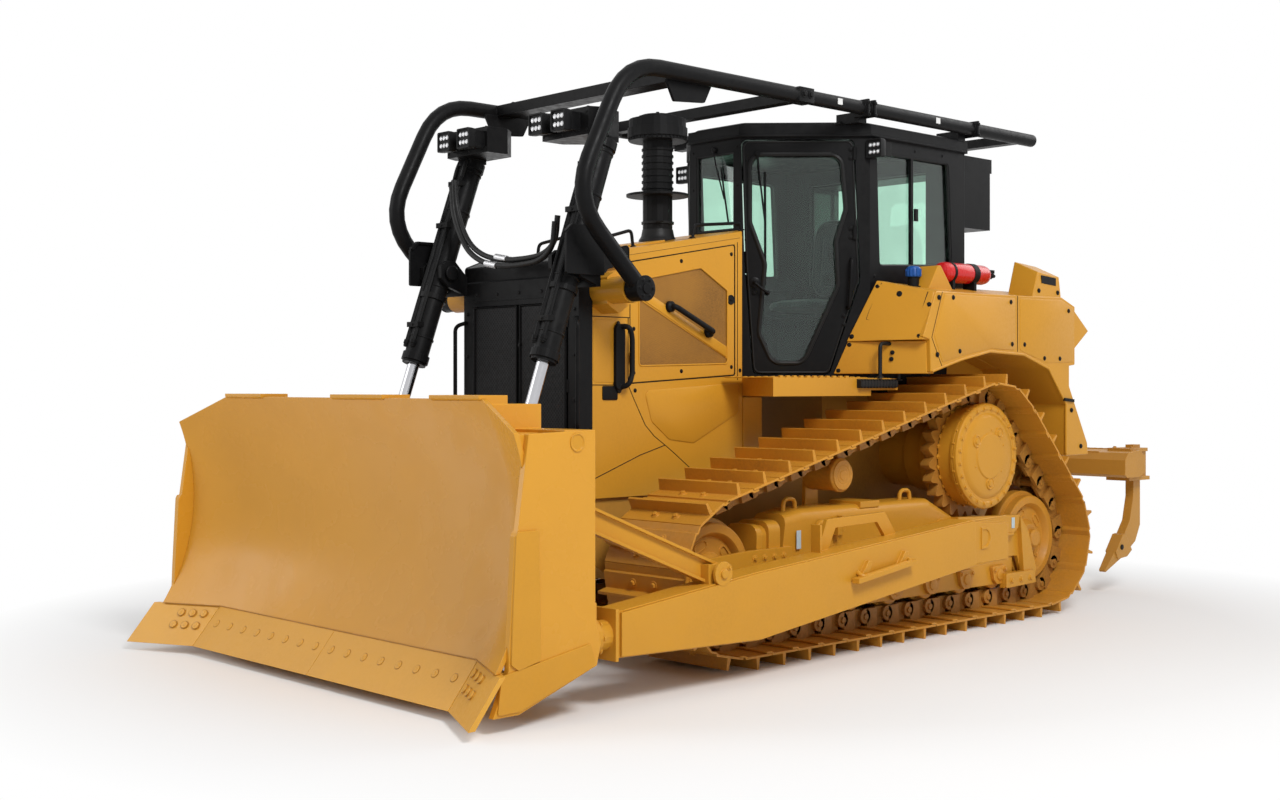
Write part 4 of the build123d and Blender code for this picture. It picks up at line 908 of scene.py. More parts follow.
@dataclass(frozen=True)
class TrackFrames:
    """Flanges, bolts, guard trims and blank plates of the two roller frames.

    Args:
        outer: its outer width.
        cheek: outer width of the fork plates.
    """

    outer: float = 1.12
    cheek: float = 1.145

    def side_details(self) -> Shell:
        """Bolts along the beam, the bolted inspection flange, a fitting and a seam strip."""
        x = self.cheek
        flange = turned(mm("0 66, 20 64, 24 56, 24 36, 34 34, 36 26"), at(self.outer + 0.01, 2.91, 0.69),
            LEFT, 32)
        ring = bolts(circle(self.outer + 0.033, 2.91, 0.69, 0.046, 6), LEFT, 0.01, 0.012)
        fitting = join(box(1.125, 1.175, 3.01, 3.045, 0.66, 0.76), box(1.125, 1.165, 3.06, 3.09, 0.68, 0.77))
        seam = across(mm("3200 455, 4700 455, 4700 470, 3200 470"), self.outer, self.outer + 0.012)
        fork = bolts(spots([(x, s, 0.575) for s in (2.33, 2.41, 2.49, 2.57)] + [(x, s, 0.455)
            for s in (2.33, 2.41, 2.49, 2.57)]), LEFT, 0.013, 0.012)
        return join(flange, ring, fitting, seam, fork)

    def tail(self) -> Shell:
        """Fittings of the outer guard behind the arm: a long lip, the rim of a round-ended window and a
        bolted toe.
        """
        x1 = self.cheek + 0.03
        lip = across(mm("4195 520, 4800 548, 4800 562, 4195 534"), x1 - 0.004, x1 + 0.014)
        eye = circle(0, 0, 0, 1.0, 26)[:, 1:] - [NOSE, 0]
        eye = eye * [0.05, 0.056]
        window = []
        for scale, x in ((1.16, x1 - 0.002), (1.16, x1 + 0.006), (0.84, x1 + 0.006), (0.84, x1 + 0.0005)):
            window.append(np.column_stack([np.full(26, x), 4.4 + eye[:, 0] * scale + NOSE,
                0.6 + eye[:, 1] * scale]))
        toe = across(rounded(mm("4700 300, 5030 300, 5050 215, 4700 205"), 0.008), x1, x1 + 0.022)
        heads = bolts(spots([(x1 + 0.022, s, 0.252) for s in (4.76, 4.87, 4.98)]), LEFT, 0.014, 0.012)
        return join(lip, lofted(np.stack(window)), toe, heads)

    def make(self) -> None:
        """Build the fittings of both frames."""
        metal = join(self.side_details(), self.tail())
        build("track_frame_fittings", both(metal), YELLOW, "tractor", 0.002)
        x = self.outer + 0.013
        plates = join(across(mm("2690 600, 2728 600, 2728 705, 2690 705"), x, x + 0.003),
            across(((4.895 - 0.105, 0.59), (4.93 - 0.105, 0.59), (4.93 - 0.105, 0.66), (4.895 - 0.105, 0.66)),
            self.cheek + 0.03, self.cheek + 0.033))
        build("track_frame_plates", both(plates), LABEL, "tractor", 0.001)


# ---- blade and arms
@dataclass(frozen=True)
class Blade:
    """The blade: mouldboard, boxes, ends and lugs in place of the plain ones, with bolts and wear plates.

    Args:
        half: half width of the straight middle.
        wing_end: width where the wings end.
        slope: forward set of the wings, per width.
        foot: station and height of the edges' lower front line.
        crown: station and height of their upper front line.
        arc: foot, belly and top of the mouldboard's front, as stations and heights.
        body: the body that carries the pieces.
    """

    half: float = 1.2
    wing_end: float = 1.57
    slope: float = 199.0 / 413.0
    foot: Pair = (0.199, 0.05)
    crown: Pair = (0.369, 0.261)
    arc: Rows = mm("370 262, 552 934, 400 1465")
    body: str = "blade_assembly"

    def edge_place(self, x: Array, share: Array) -> Array:
        """Places on the edges' front face: width, and share of the way from the foot to the crown."""
        station = self.foot[0] + (self.crown[0] - self.foot[0]) * share
        set_forward = np.maximum(np.abs(x) - self.half, 0) * self.slope
        height = self.foot[1] + (self.crown[1] - self.foot[1]) * share
        return np.column_stack([x, station - set_forward + NOSE, height])

    def edge_bolts(self) -> None:
        """Plough bolts: eight in a row on each middle edge, and two rows of three on each end bit."""
        x = np.concatenate([np.linspace(0.075, 1.125, 8), -np.linspace(0.075, 1.125, 8)])
        face = np.array([0.0, -(self.crown[1] - self.foot[1]), self.crown[0] - self.foot[0]])
        sunk = turned(mm("-6 21, 3 21, 4.4 19"), np.zeros(3), face, 20)
        slot = turned(mm("1 9, 6.2 8"), np.zeros(3), face, 6)
        middle = copies(join(sunk, slot), self.edge_place(x, np.full(16, 0.6)))
        across_wing = np.array([1.0, -self.slope, 0.0])
        up = np.array([0.0, self.crown[0] - self.foot[0], self.crown[1] - self.foot[1]])
        out = np.cross(up, across_wing)
        out *= -np.sign(out[1])
        wing_x = np.tile([1.275, 1.345, 1.415], 2)
        share = np.repeat([0.5, 0.8], 3)
        head = turned(mm("-6 21, 3.2 21, 4.6 19"), np.zeros(3), out, 20)
        nut = turned(mm("1 10, 6.4 9"), np.zeros(3), out, 6)
        wing = copies(join(head, nut), self.edge_place(wing_x, share))
        build("blade_edge_bolts", join(middle, both(wing)), EDGE_YELLOW, self.body)
        rim = mm("0 24.5, 1.2 24.5, 1.2 20.5, 0 20.5")
        rims = [copies(turned(rim, np.zeros(3), face, 20), self.edge_place(x, np.full(16, 0.6))),
            both(copies(turned(rim, np.zeros(3), out, 20), self.edge_place(wing_x, share)))]
        build("blade_bolt_rims", join(*rims), SHADE_AND_SEAM_BROWN, self.body)

    def face_at(self, z: Array) -> Array:
        """Station of the mouldboard's front at each height, on the arc through its foot, belly and top."""
        (y0, z0), (y1, z1), (y2, z2) = self.arc
        rows = np.array([(y1 - y0, z1 - z0), (y2 - y0, z2 - z0)])
        middle = np.linalg.solve(rows,
            np.array([y1 ** 2 + z1 ** 2, y2 ** 2 + z2 ** 2]) / 2 - (y0 ** 2 + z0 ** 2) / 2)
        reach = (y0 - middle[0]) ** 2 + (z0 - middle[1]) ** 2
        return middle[0] + np.sqrt(reach - (np.asarray(z) - middle[1]) ** 2)

    def skin(self, x: float, low: float, high: float, front: float, back: float) -> Array:
        """Section of a layer behind the face at one width, from a front to a back depth."""
        z = np.linspace(low, high, 30)
        station = self.face_at(z) - max(abs(x) - self.half, 0) * self.slope
        there = np.column_stack([np.full(30, x), station + front + NOSE, z])
        return np.vstack([there, (there + [0, back - front, 0])[::-1]])

    def board(self) -> None:
        """Whole mouldboard with skewed wings, its boxes, end plates, tabs, seats and lift lugs."""
        tops = [(-self.wing_end, 1.316), (-self.half, 1.465), (self.half, 1.465), (self.wing_end, 1.316)]
        faces = lofted(np.stack([self.skin(x, 0.262, top, 0.0, 0.03) for x, top in tops]))
        strips = [lofted(np.stack([self.skin(x, low, high, 0.02, 0.2)
            for x in (-1.56, -self.half, self.half, 1.56)])) for low, high in mm("300 540, 1190 1310")]
        plate = across(mm("365 1312, 760 1324, 760 450, 795 340, 770 237, 310 75, 165 75, 252 275, 262 460, "
            "285 865, 305 890"), 1.555, 1.59)
        boxes = [across(outline, -self.half, self.half)
            for outline in (mm("401 262, 795 235, 795 520, 580 560"),
            mm("540 1180, 760 1180, 760 1440, 440 1440"), mm("404 262, 440 262, 303 82, 265 82"))]
        corner = join(across(mm("560 262, 795 235, 795 520, 600 560"), 1.195, 1.56),
            across(mm("600 1200, 760 1200, 760 1324, 600 1324"), 1.195, 1.56),
            across(mm("600 500, 760 500, 760 1324, 600 1324"), 1.17, 1.2),
            across(mm("552 900, 758 915, 758 1000, 552 1020"), 1.255, 1.345))
        ribs = [across(mm("580 500, 760 500, 760 1200, 580 1200"), x - 0.012, x + 0.012)
            for x in (-0.9, -0.3, 0.3, 0.9)]
        tabs = [across(mm("388 1465, 440 1438, 560 1438, 560 1482, 388 1482"), a, b)
            for a, b in mm("-1195 -790, -80 400, 800 1195")]
        shelf = np.array([*mm("404 262, 440 262, 303 82, 265 82")])
        wing = [np.column_stack([np.full(4, x), shelf[:, 0] - (x - self.half) * self.slope + NOSE,
            shelf[:, 1]]) for x in (1.198, 1.556)]
        lug = mm("600 560, 780 500, 980 755, 1040 770, 1062 850, 1010 905, 760 1180, 580 1180")
        lugs = join(across(lug, 0.517, 0.547), across(lug, 0.637, 0.667), pin(at(0.517, 0.988, 0.83),
            at(0.667, 0.988, 0.83), 0.03, 32))
        whole = build("blade_shell", join(faces, *strips, *boxes, *ribs, *tabs, both(join(plate, corner, lugs,
            lofted(np.stack(wing))))), BLADE_YELLOW, self.body, 0.003)
        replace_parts(whole, "blade")
        lines = [seam([(x0, self.crown[0] - 0.0016 - s0, 0.2625), (x1, self.crown[0] - 0.0016 - s1, 0.2625)],
            0.006) for x0, s0, x1, s1 in ((-1.2, 0, 1.2, 0), (1.2, 0, 1.556, 0.356 * self.slope),
            (-1.556, 0.356 * self.slope, -1.2, 0))]
        build("blade_seams", join(*lines), SHADE_AND_SEAM_BROWN, self.body)

    def side_plates(self) -> None:
        """Stepped wear plates on the ends, with a round plug near the top."""
        lower = rounded(mm("260 300, 266 460, 287 865, 296 884, 417 884, 428 302, 300 272"), 0.01)
        foot = rounded(mm("208 258, 725 345, 762 240, 312 90, 185 88"), 0.012)
        x = self.wing_end + 0.02
        plug = turned(mm("-4 44, 5 44, 6 40, 5 36, 1 34, 1 2"), at(x, 0.649, 1.268), LEFT, 36)
        slabs = join(across(lower, x - 0.002, x + 0.011), across(foot, x - 0.002, x + 0.008), plug)
        build("blade_side_plates", both(slabs), YELLOW, self.body, 0.002)

    def back(self) -> None:
        """Weld beads along the back's boxes and nuts behind the edges."""
        nuts = bolts(np.vstack([row((-1.12, 0.455, 0.15), (1.12, 0.455, 0.15), 16)]), (0, 1, -0.2), 0.016,
            0.02)
        beads = []
        for z, station in mm("523 700, 1180 700"):
            path = row((-1.18, station, z), (1.18, station, z), 40)
            path[:, 2] += 0.0006 * np.cos(np.arange(40) * 2.1)
            beads.append(piped(path, 0.006, 8))
        build("blade_back_nuts", nuts, EDGE_YELLOW, self.body)
        build("blade_weld_beads", join(*beads), YELLOW, self.body)

    def make(self) -> None:
        """Build every piece of the blade."""
        self.board()
        self.edge_bolts()
        self.side_plates()
        self.back()


@dataclass(frozen=True)
class PushArms:
    """Fittings of the blade's arms: side plates, treads, joint caps, braces' pins and weld seams.

    Args:
        outer: outer width of an arm.
        body: the body that carries the pieces.
    """

    outer: float = 1.55
    body: str = "blade_assembly"

    def top_at(self, station: float) -> float:
        """Height of an arm's top edge at a station, along its two straight runs."""
        return float(np.interp(station, [0.795, 1.904, 3.812, 4.095], [0.45, 0.571, 0.725, 0.735]))

    def braces(self) -> None:
        """Pin joints at both ends of the braces from the arms to the blade's back."""
        parts = []
        for station, z, x in mm("1640 585 1475, 840 935 1322"):
            for sign in (-1, 1):
                ear = circle(x + sign * 0.075, station, z, 0.062, 20)
                ring = np.stack([ear, ear + [sign * 0.018, 0, 0]])
                parts.append(lofted(ring if sign > 0 else ring[::-1]))
            parts.append(turned(mm("0 20, 3 24, 208 24, 211 20"), at(x - 0.1055, station, z), LEFT, 24))
            parts.append(bolts(spots([(x + 0.093, station + 0.038, z + 0.03)]), LEFT, 0.01, 0.01))
        build("arm_brace_pins", both(join(*parts)), YELLOW, self.body, 0.002)

    def joints(self) -> None:
        """Bolts of the ball joints' caps."""
        ring = circle(0, 0, 0, 0.086, 8)
        rim = np.column_stack([1.475 + (ring[:, 1] - NOSE), np.full(8, 0.795 + 0.04 + NOSE),
            0.35 + ring[:, 2]])
        caps = bolts(rim, BACK, 0.01, 0.012)
        build("arm_joint_caps", both(caps), YELLOW, self.body, 0.002)

    def plates(self) -> None:
        """Side plates that stop short of the pivots, D-shaped bosses on the pivots' covers, and treads."""
        x = self.outer
        side = across(mm("948 252, 1927 226, 3822 456, 3813 719, 1904 565, 948 459"), x - 0.002, x + 0.016)
        cover = across(rounded(mm("3800 462, 4168 468, 4168 682, 3800 714"), 0.01), x + 0.0005, x + 0.005)
        a = np.linspace(-np.pi / 2, np.pi / 2, 14)
        flat = np.vstack([np.column_stack([3.925 + 0.062 * np.cos(a), 0.612 + 0.066 * np.sin(a)]),
            [*mm("3885 678, 3885 546")]])
        rings = [np.column_stack([np.full(16, x + h), (flat[:, 0] - 3.92) * k + 3.92 + NOSE,
            (flat[:, 1] - 0.612) * k + 0.612]) for k, h in mm("1000 4, 980 14, 780 14, 740 5.2")]
        tread = across(mm("2640 452, 3165 520, 3160 546, 2640 480"), 1.576, 1.627)
        struts = [across(((s - 0.06, z - 0.055), (s + 0.01, z - 0.05), (s + 0.04, z + 0.03),
            (s + 0.01, z + 0.036)), x + 0.01, 1.59) for s, z in mm("2760 530, 3090 560")]
        build("arm_side_plates", both(join(side, cover, lofted(np.stack(rings)), tread, *struts)), YELLOW,
            self.body, 0.002)

    def flanges(self) -> None:
        """Weld seams along the arms' flat sides."""
        seams = []
        for rise in (0.012, -0.012):
            s = np.array([0.97, 1.904, 3.812, 4.16])
            top = np.array([self.top_at(v) for v in s]) - 0.004
            low = np.interp(s, [0.795, 1.927, 3.822, 4.095], [0.25, 0.22, 0.45, 0.475]) + 0.004
            z = top if rise > 0 else low
            seams.append(piped(spots(np.column_stack([np.full(4, self.outer - 0.001), s, z])), 0.005, 8))
        build("arm_weld_seams", both(join(*seams)), YELLOW, self.body, 0.002)

    def make(self) -> None:
        """Build every piece of the arms."""
        self.braces()
        self.joints()
        self.plates()
        self.flanges()


# ---- lamps
def lamp(place: Array, out: Sequence[float], size: float = 0.1) -> tuple[Shell, Shell, Shell]:
    """Square working lamp with a bezel round two rows of three cells.

    Args:
        place: middle of its back.
        out: direction that it shines in, level or tilted.
        size: width and height of its housing.

    Returns:
        Housing with bezel, reflector cells and lenses, each in the frame's axes.
    """
    w = np.asarray(out, float) / np.linalg.norm(out)
    u = np.cross([0.0, 0.0, 1.0], w)
    u /= np.linalg.norm(u)
    turn = np.column_stack([u, np.cross(w, u), w])
    h = size / 2
    square = rounded(((-h, -h), (h, -h), (h, h), (-h, h)), h * 0.16, 4)
    inner = square * 0.84
    deep = size * 0.55

    def ring(flat: Array, z: float) -> Array:
        return np.column_stack([flat, np.full(len(flat), z)])

    body = lofted(np.stack([ring(square * 0.8, 0.0), ring(square * 0.97, deep * 0.25),
        ring(square, deep * 0.6), ring(square, deep), ring(inner, deep), ring(inner, deep * 0.86)]))
    cells, glass = [], []
    cell = size * 0.115
    for y in (-1, 1):
        for x in (-1, 0, 1):
            middle = np.array([x * size * 0.25, y * size * 0.19, deep * 0.84])
            cup = turned(((0.0, cell), (0.004, cell * 0.98), (0.004, cell * 0.82), (0.001, cell * 0.45)),
                middle, UP, 14)
            cells.append(cup)
            glass.append(turned(((0.001, cell * 0.6), (0.004, cell * 0.52), (0.0055, cell * 0.2)), middle, UP,
                10))
    shells = []
    for shell in (body, join(*cells), join(*glass)):
        shells.append(Shell(shell.points @ turn.T + place, shell.quads, shell.caps))
    return shells[0], shells[1], shells[2]


def lamps(name: str, rows: Sequence[tuple[Array, Sequence[float], float]], body: str) -> None:
    """Build a set of lamps from rows of place, direction and size."""
    sets = [lamp(place, out, size) for place, out, size in rows]
    build(f"{name}_housings", join(*[s[0] for s in sets]), PLASTIC, body, 0.0015)
    build(f"{name}_reflectors", join(*[s[1] for s in sets]), REFLECTOR, body)
    build(f"{name}_lenses", join(*[s[2] for s in sets]), LENS, body)


def grab(corners: Rows, radius: float = 0.011, bend: float = 0.03) -> Shell:
    """Grab bar of bent rod with a round foot at each end."""
    bar = bent_bar(corners, radius, bend)
    p = spots(corners)
    feet = [turned(((0, radius * 2.1), (0.006, radius * 2.0), (0.01, radius * 1.1)), p[a], p[b] - p[a], 18)
        for a, b in ((0, 1), (-1, -2))]
    return join(bar, *feet)


# ---- shared trim
def bead(points: Array, radius: float, sides: int = 8) -> Shell:
    """Closed round strip through points: rings across the mean of each point's two runs."""
    tangent = np.roll(points, -1, 0) - np.roll(points, 1, 0)
    tangent /= np.linalg.norm(tangent, axis=1)[:, None]
    span = points.max(0) - points.min(0)
    steady = np.eye(3)[int(np.argmin(span))]
    u = np.cross(steady, tangent)
    u /= np.maximum(np.linalg.norm(u, axis=1), 1e-9)[:, None]
    v = np.cross(tangent, u)
    a = np.linspace(0, 2 * np.pi, sides, endpoint=False)
    rings = points[:, None] + radius * (np.cos(a)[None, :, None] * u[:, None]
        + np.sin(a)[None, :, None] * v[:, None])
    return lofted(rings, closed=True)


def seam(path: Rows, width: float = 0.004) -> Shell:
    """Dark line of a joint between panels, through places of width, station and height."""
    return piped(spots(path), width / 2, 6)


def side_ring(outline: Rows, x: float, radius: float) -> Array:
    """Rounded side outline of stations and heights as places at one width."""
    flat = rounded(outline, radius)
    return np.column_stack([np.full(len(flat), x), flat[:, 0] + NOSE, flat[:, 1]])


def pan(outline: Rows, x0: float, x1: float, radius: float, soft: float = 0.006) -> Shell:
    """Raised side panel with rounded corners, whose edge leans in to its flat face."""
    flat = rounded(outline, radius)
    middle = flat.mean(0)
    gap = flat - middle
    inner = middle + gap * (1 - soft / np.maximum(np.linalg.norm(gap, axis=1), 1e-6))[:, None]
    levels = ((flat, x0), (flat, x1 - (x1 - x0) * 0.35), (inner, x1))
    return lofted(np.stack([np.column_stack([np.full(len(f), x), f[:, 0] + NOSE, f[:, 1]])
        for f, x in levels]))


# ---- engine enclosure
@dataclass(frozen=True)
class Hood:
    """Seams, panels, bolts and handles of the engine's enclosure.

    Args:
        half: width of its side panels from the centre plane.
        body: the body that carries it.
    """

    half: float = 0.5
    body: str = "tractor"

    def top_at(self, station: float) -> float:
        """Height of the sloping top at a station."""
        return float(np.interp(station, [1.69, 1.97, 3.2], [2.18, 2.3, 2.51]))

    def seams(self) -> None:
        """Joints between the side panels, round the doors and along the top's chamfer."""
        x = self.half + 0.0002
        curve_low = [*mm("1976 1531, 2020 1452, 2109 1303, 2180 1238, 2268 1184, 2370 1116, 2473 1044")]
        rows = [[*mm("1704 1912, 1990 1912")], [*mm("1704 1005, 2069 1132, 2268 1184")], curve_low,
            [*mm("1976 1531, 1976 1912")], [*mm("2878 1562, 2878 2395")], [*mm("1704 1531, 1976 1531")]]
        lines = [seam([(x, s, z) for s, z in path], 0.005) for path in rows]
        edge = [(self.half - 0.001, s, self.top_at(s) - 0.036) for s in (1.7, 1.97, 2.9)]
        lines.append(seam(edge, 0.003))
        lines.append(bead(side_ring(mm("1990 1540, 1990 2229, 2855 2380, 2855 1590"), x, 0.016), 0.0028))
        top = [seam([(-0.46, s, self.top_at(s) + 0.0003), (0.46, s, self.top_at(s) + 0.0003)], 0.004)
            for s in (1.975, 2.56)]
        build("hood_seams", join(both(join(*lines)), *top), SATIN_BLACK, self.body)

    def panels(self) -> None:
        """Lower side panel, the small plates beside the nose and the top's raised hatch."""
        x = self.half
        lower = pan(mm("2100 1500, 2890 1545, 2890 1365, 2500 1190, 2300 1215, 2160 1320"), x - 0.002,
            x + 0.006, 0.035)
        strip = pan(mm("1712 1545, 1960 1545, 1960 1895, 1712 1895"), x - 0.002, x + 0.003, 0.02)
        build("hood_side_panels", both(join(lower, strip)), YELLOW, self.body, crease=50)
        skirt = pan(mm("2925 1100, 2925 1462, 3095 1462, 3095 1100"), x - 0.03, x + 0.004, 0.012)
        build("hood_skirts", both(skirt), YELLOW, self.body, crease=50)
        s0, s1 = 2.04, 2.48
        flat = rounded(((-0.3, s0), (0.3, s0), (0.3, s1), (-0.3, s1)), 0.03)
        height = np.interp(flat[:, 1], [1.97, 3.2], [2.3, 2.51])
        rings = [np.column_stack([flat[:, 0] * k, (flat[:, 1] - 2.26) * k + 2.26 + NOSE, height + d])
            for k, d in mm("1000 -4, 1000 8, 985 12")]
        build("hood_top_hatch", lofted(np.stack(rings)), YELLOW, self.body, crease=40)

    def fittings(self) -> None:
        """Black plate, bolts and grab bars."""
        x = self.half + 0.003
        plate = pan(mm("1779 1447, 1892 1447, 1892 1526, 1779 1526"), x - 0.004, x + 0.006, 0.01)
        build("hood_latches", both(plate), PLASTIC, self.body, 0.001)
        places = spots([(x - 0.003, 2.03, 1.5), (x - 0.003, 2.03, 2.18), (x - 0.003, 2.9, 1.62)])
        build("hood_bolts", both(bolts(places, LEFT, 0.008, 0.006)), SATIN_BLACK, self.body)
        rail = grab(mm("300 1974 2300, 300 1985 2381, 300 2186 2436, 300 2200 2338"), 0.01)
        bar = grab(mm("320 2674 2418, 320 2690 2500, 320 3090 2540, 320 3105 2494"), 0.01)
        side = join(grab(((x - 0.003, 1.9, 1.515), (x + 0.06, 1.925, 1.53), (x + 0.06, 1.95, 1.59),
            (x + 0.06, 1.95, 1.8), (x + 0.06, 1.93, 1.86), (x - 0.003, 1.9, 1.86)), 0.015, 0.05),
            pan(mm("1862 1500, 1932 1500, 1932 1875, 1862 1875"), x - 0.004, x + 0.022, 0.03))
        build("hood_grab_bars", join(both(join(rail, side)), bar), PLASTIC, self.body)

    def cowl(self) -> None:
        """Black cover over the front of the enclosure, with its turned-down edge and bolts."""
        profile = rounded(mm("1600 2120, 1600 2225, 1700 2262, 1962 2318, 1962 2215, 1800 2180, 1760 2120"),
            0.014)
        cover = across(profile, -0.52, 0.52)
        rim = bead(side_ring(mm("1600 2120, 1600 2225, 1700 2262, 1962 2318, 1962 2215, 1800 2180, "
            "1760 2120"), 0.521, 0.02), 0.004)
        heads = bolts(spots([*mm("522 1640 2150, 522 1640 2205, 522 1900 2262")]), LEFT, 0.01, 0.008)
        build("hood_cowl", join(cover, both(join(rim, heads))), BLACK, self.body, 0.002)

    def stack_base(self) -> None:
        """Rubber boot round the intake pipe, its band, and the cap on the head."""
        z = self.top_at(2.69)
        boot = turned(mm("-30 118, 12 118, 20 112, 35 103, 60 98, 75 95.5"), at(0, 2.69, z - 0.005), UP, 40)
        band = turned(mm("0 94, 0 101, 14 101, 14 94"), at(0, 2.69, z + 0.105), UP, 40)
        screw = pin(at(0.075, 2.69 - 0.085, z + 0.112), at(0.115, 2.69 - 0.06, z + 0.112), 0.006, 10)
        build("intake_boot", join(boot, band, screw), HOSE, self.body)
        ribs = [turned(((0, 0.06 + 0.01 * k), (0.004, 0.062 + 0.01 * k), (0.008, 0.06 + 0.01 * k)),
            at(0, 2.69, 3.1945), UP, 40) for k in range(0, 6, 2)]
        vanes = [box(0.1785 * math.cos(a) - 0.004, 0.1785 * math.cos(a) + 0.004,
            2.69 + 0.1785 * math.sin(a) - 0.004, 2.69 + 0.1785 * math.sin(a) + 0.004, 3.046, 3.118)
            for a in np.linspace(0, 2 * np.pi, 40, endpoint=False)]
        wing = turned(mm("0 24, 10 24, 16 12, 30 10"), at(0, 2.69, 3.195), UP, 18)
        build("intake_head_ribs", join(*ribs, *vanes, wing), PLASTIC, self.body, crease=50)

    def make(self) -> None:
        """Build every piece of the enclosure."""
        self.seams()
        self.panels()
        self.fittings()
        self.cowl()
        self.stack_base()


@dataclass(frozen=True)
class EngineDoors:
    """Pierced sheets, ribs, latches and bolts of the two side doors, which swing with them.

    Args:
        half: width of the doors' faces.
        recess: outline of the pressed panel, in stations and heights.
    """

    half: float = 0.5
    recess: Rows = mm("2060 1640, 2060 2130, 2560 2225, 2790 2100, 2790 1660")

    def make(self) -> None:
        """Build the fittings of each door on its own body."""
        x = self.half
        sheet = across(rounded(self.recess, 0.02), x - 0.0085, x - 0.0045)
        rib = pan(mm("2070 2026, 2070 2086, 2782 1758, 2782 1696"), x - 0.006, x + 0.004, 0.006)
        rim = bead(side_ring(self.recess, x + 0.0005, 0.022), 0.005)
        latch = join(turned(mm("0 30, 4 30, 6 26, 3 22, 3 5"), at(x, 2.82, 2.045), LEFT, 26), box(x + 0.001,
            x + 0.01, 2.808, 2.832, 2.041, 2.049))
        heads = bolts(spots([(x, s, z) for s, z in mm("2020 1600, 2020 1850, 2020 2160, 2400 1612, "
            "2825 1640, 2825 2320, 2400 2255")]), LEFT, 0.008, 0.006)
        feet = [turned(mm("0 34, 20 32, 30 18"), at(x + 0.003, s, z), LEFT, 20)
            for s, z in mm("2300 1985, 2620 1845")]
        handle = bent_bar(((x + 0.002, 2.3, 1.985), (x + 0.055, 2.3, 1.985), (x + 0.055, 2.62, 1.845),
            (x + 0.002, 2.62, 1.845)), 0.0165, 0.032)
        for side, turn in SIDES:
            body = f"engine_door_{side}"
            build(f"door_sheet_{side}", turn(sheet), DOOR_GRID, body, crease=30)
            build(f"door_ribs_{side}", turn(join(rib, rim)), YELLOW, body, crease=50)
            build(f"door_latch_{side}", turn(join(latch, heads, handle, *feet)), PLASTIC, body, 0.001)


@dataclass(frozen=True)
class Grille:
    """Pierced sheet behind the bars, hinges, latches and the frame's bolts on the radiator's guard.

    Args:
        face: station of the guard's front.
        body: the body that carries it.
    """

    face: float = 1.59
    body: str = "tractor"

    def make(self) -> None:
        """Build the grille's pieces."""
        sheets = [upright(((x0, self.face - 0.003), (x1, self.face - 0.003), (x1, self.face + 0.006),
            (x0, self.face + 0.006)), 1.075, 1.978) for x0, x1 in mm("-405 -22, 22 405")]
        build("grille_sheets", join(*sheets), PIERCED, self.body)
        frames = [bead(np.array([(x0, self.face - 0.004 + NOSE, 1.07), (x1, self.face - 0.004 + NOSE, 1.07),
            (x1, self.face - 0.004 + NOSE, 1.983), (x0, self.face - 0.004 + NOSE, 1.983)]), 0.009)
            for x0, x1 in mm("-412 -16, 16 412")]
        hinges = [pin(at(x, self.face + 0.004, z), at(x, self.face + 0.004, z + 0.07), 0.011, 14)
            for x in (-0.428, 0.428) for z in (1.14, 1.49, 1.85)]
        leaves = [box(x - 0.03, x + 0.03, self.face + 0.0, self.face + 0.007, z + 0.008, z + 0.062)
            for x in (-0.428, 0.428) for z in (1.14, 1.49, 1.85)]
        latches = [join(box(-0.034, 0.034, self.face - 0.002, self.face + 0.009, z - 0.022, z + 0.022),
            turned(mm("0 12, 10 12, 12 9"), at(0.014, self.face - 0.001, z), AHEAD, 16)) for z in (1.3, 1.76)]
        around = [(x, self.face, z) for x in (-0.485, 0.485) for z in (0.78, 0.98, 1.2, 1.45, 1.7, 1.95)]
        around += [(x, self.face, 2.06) for x in (-0.4, -0.2, 0.0, 0.2, 0.4)]
        heads = bolts(spots(around), AHEAD, 0.01, 0.008)
        lip = [box(-0.5, 0.5, self.face - 0.004, self.face + 0.002, z, z + 0.012) for z in (2.02, 1.03)]
        build("grille_fittings", join(*hinges, *leaves, *latches, heads, *lip, *frames), BLACK, self.body,
            0.001)
        eye = bent_bar(((-0.5, self.face - 0.004, 1.9), (-0.555, self.face - 0.04, 1.88),
            (-0.555, self.face - 0.04, 1.3), (-0.5, self.face - 0.004, 1.28)), 0.012, 0.05)
        build("grille_grab_bar", both(eye), BLACK, self.body)


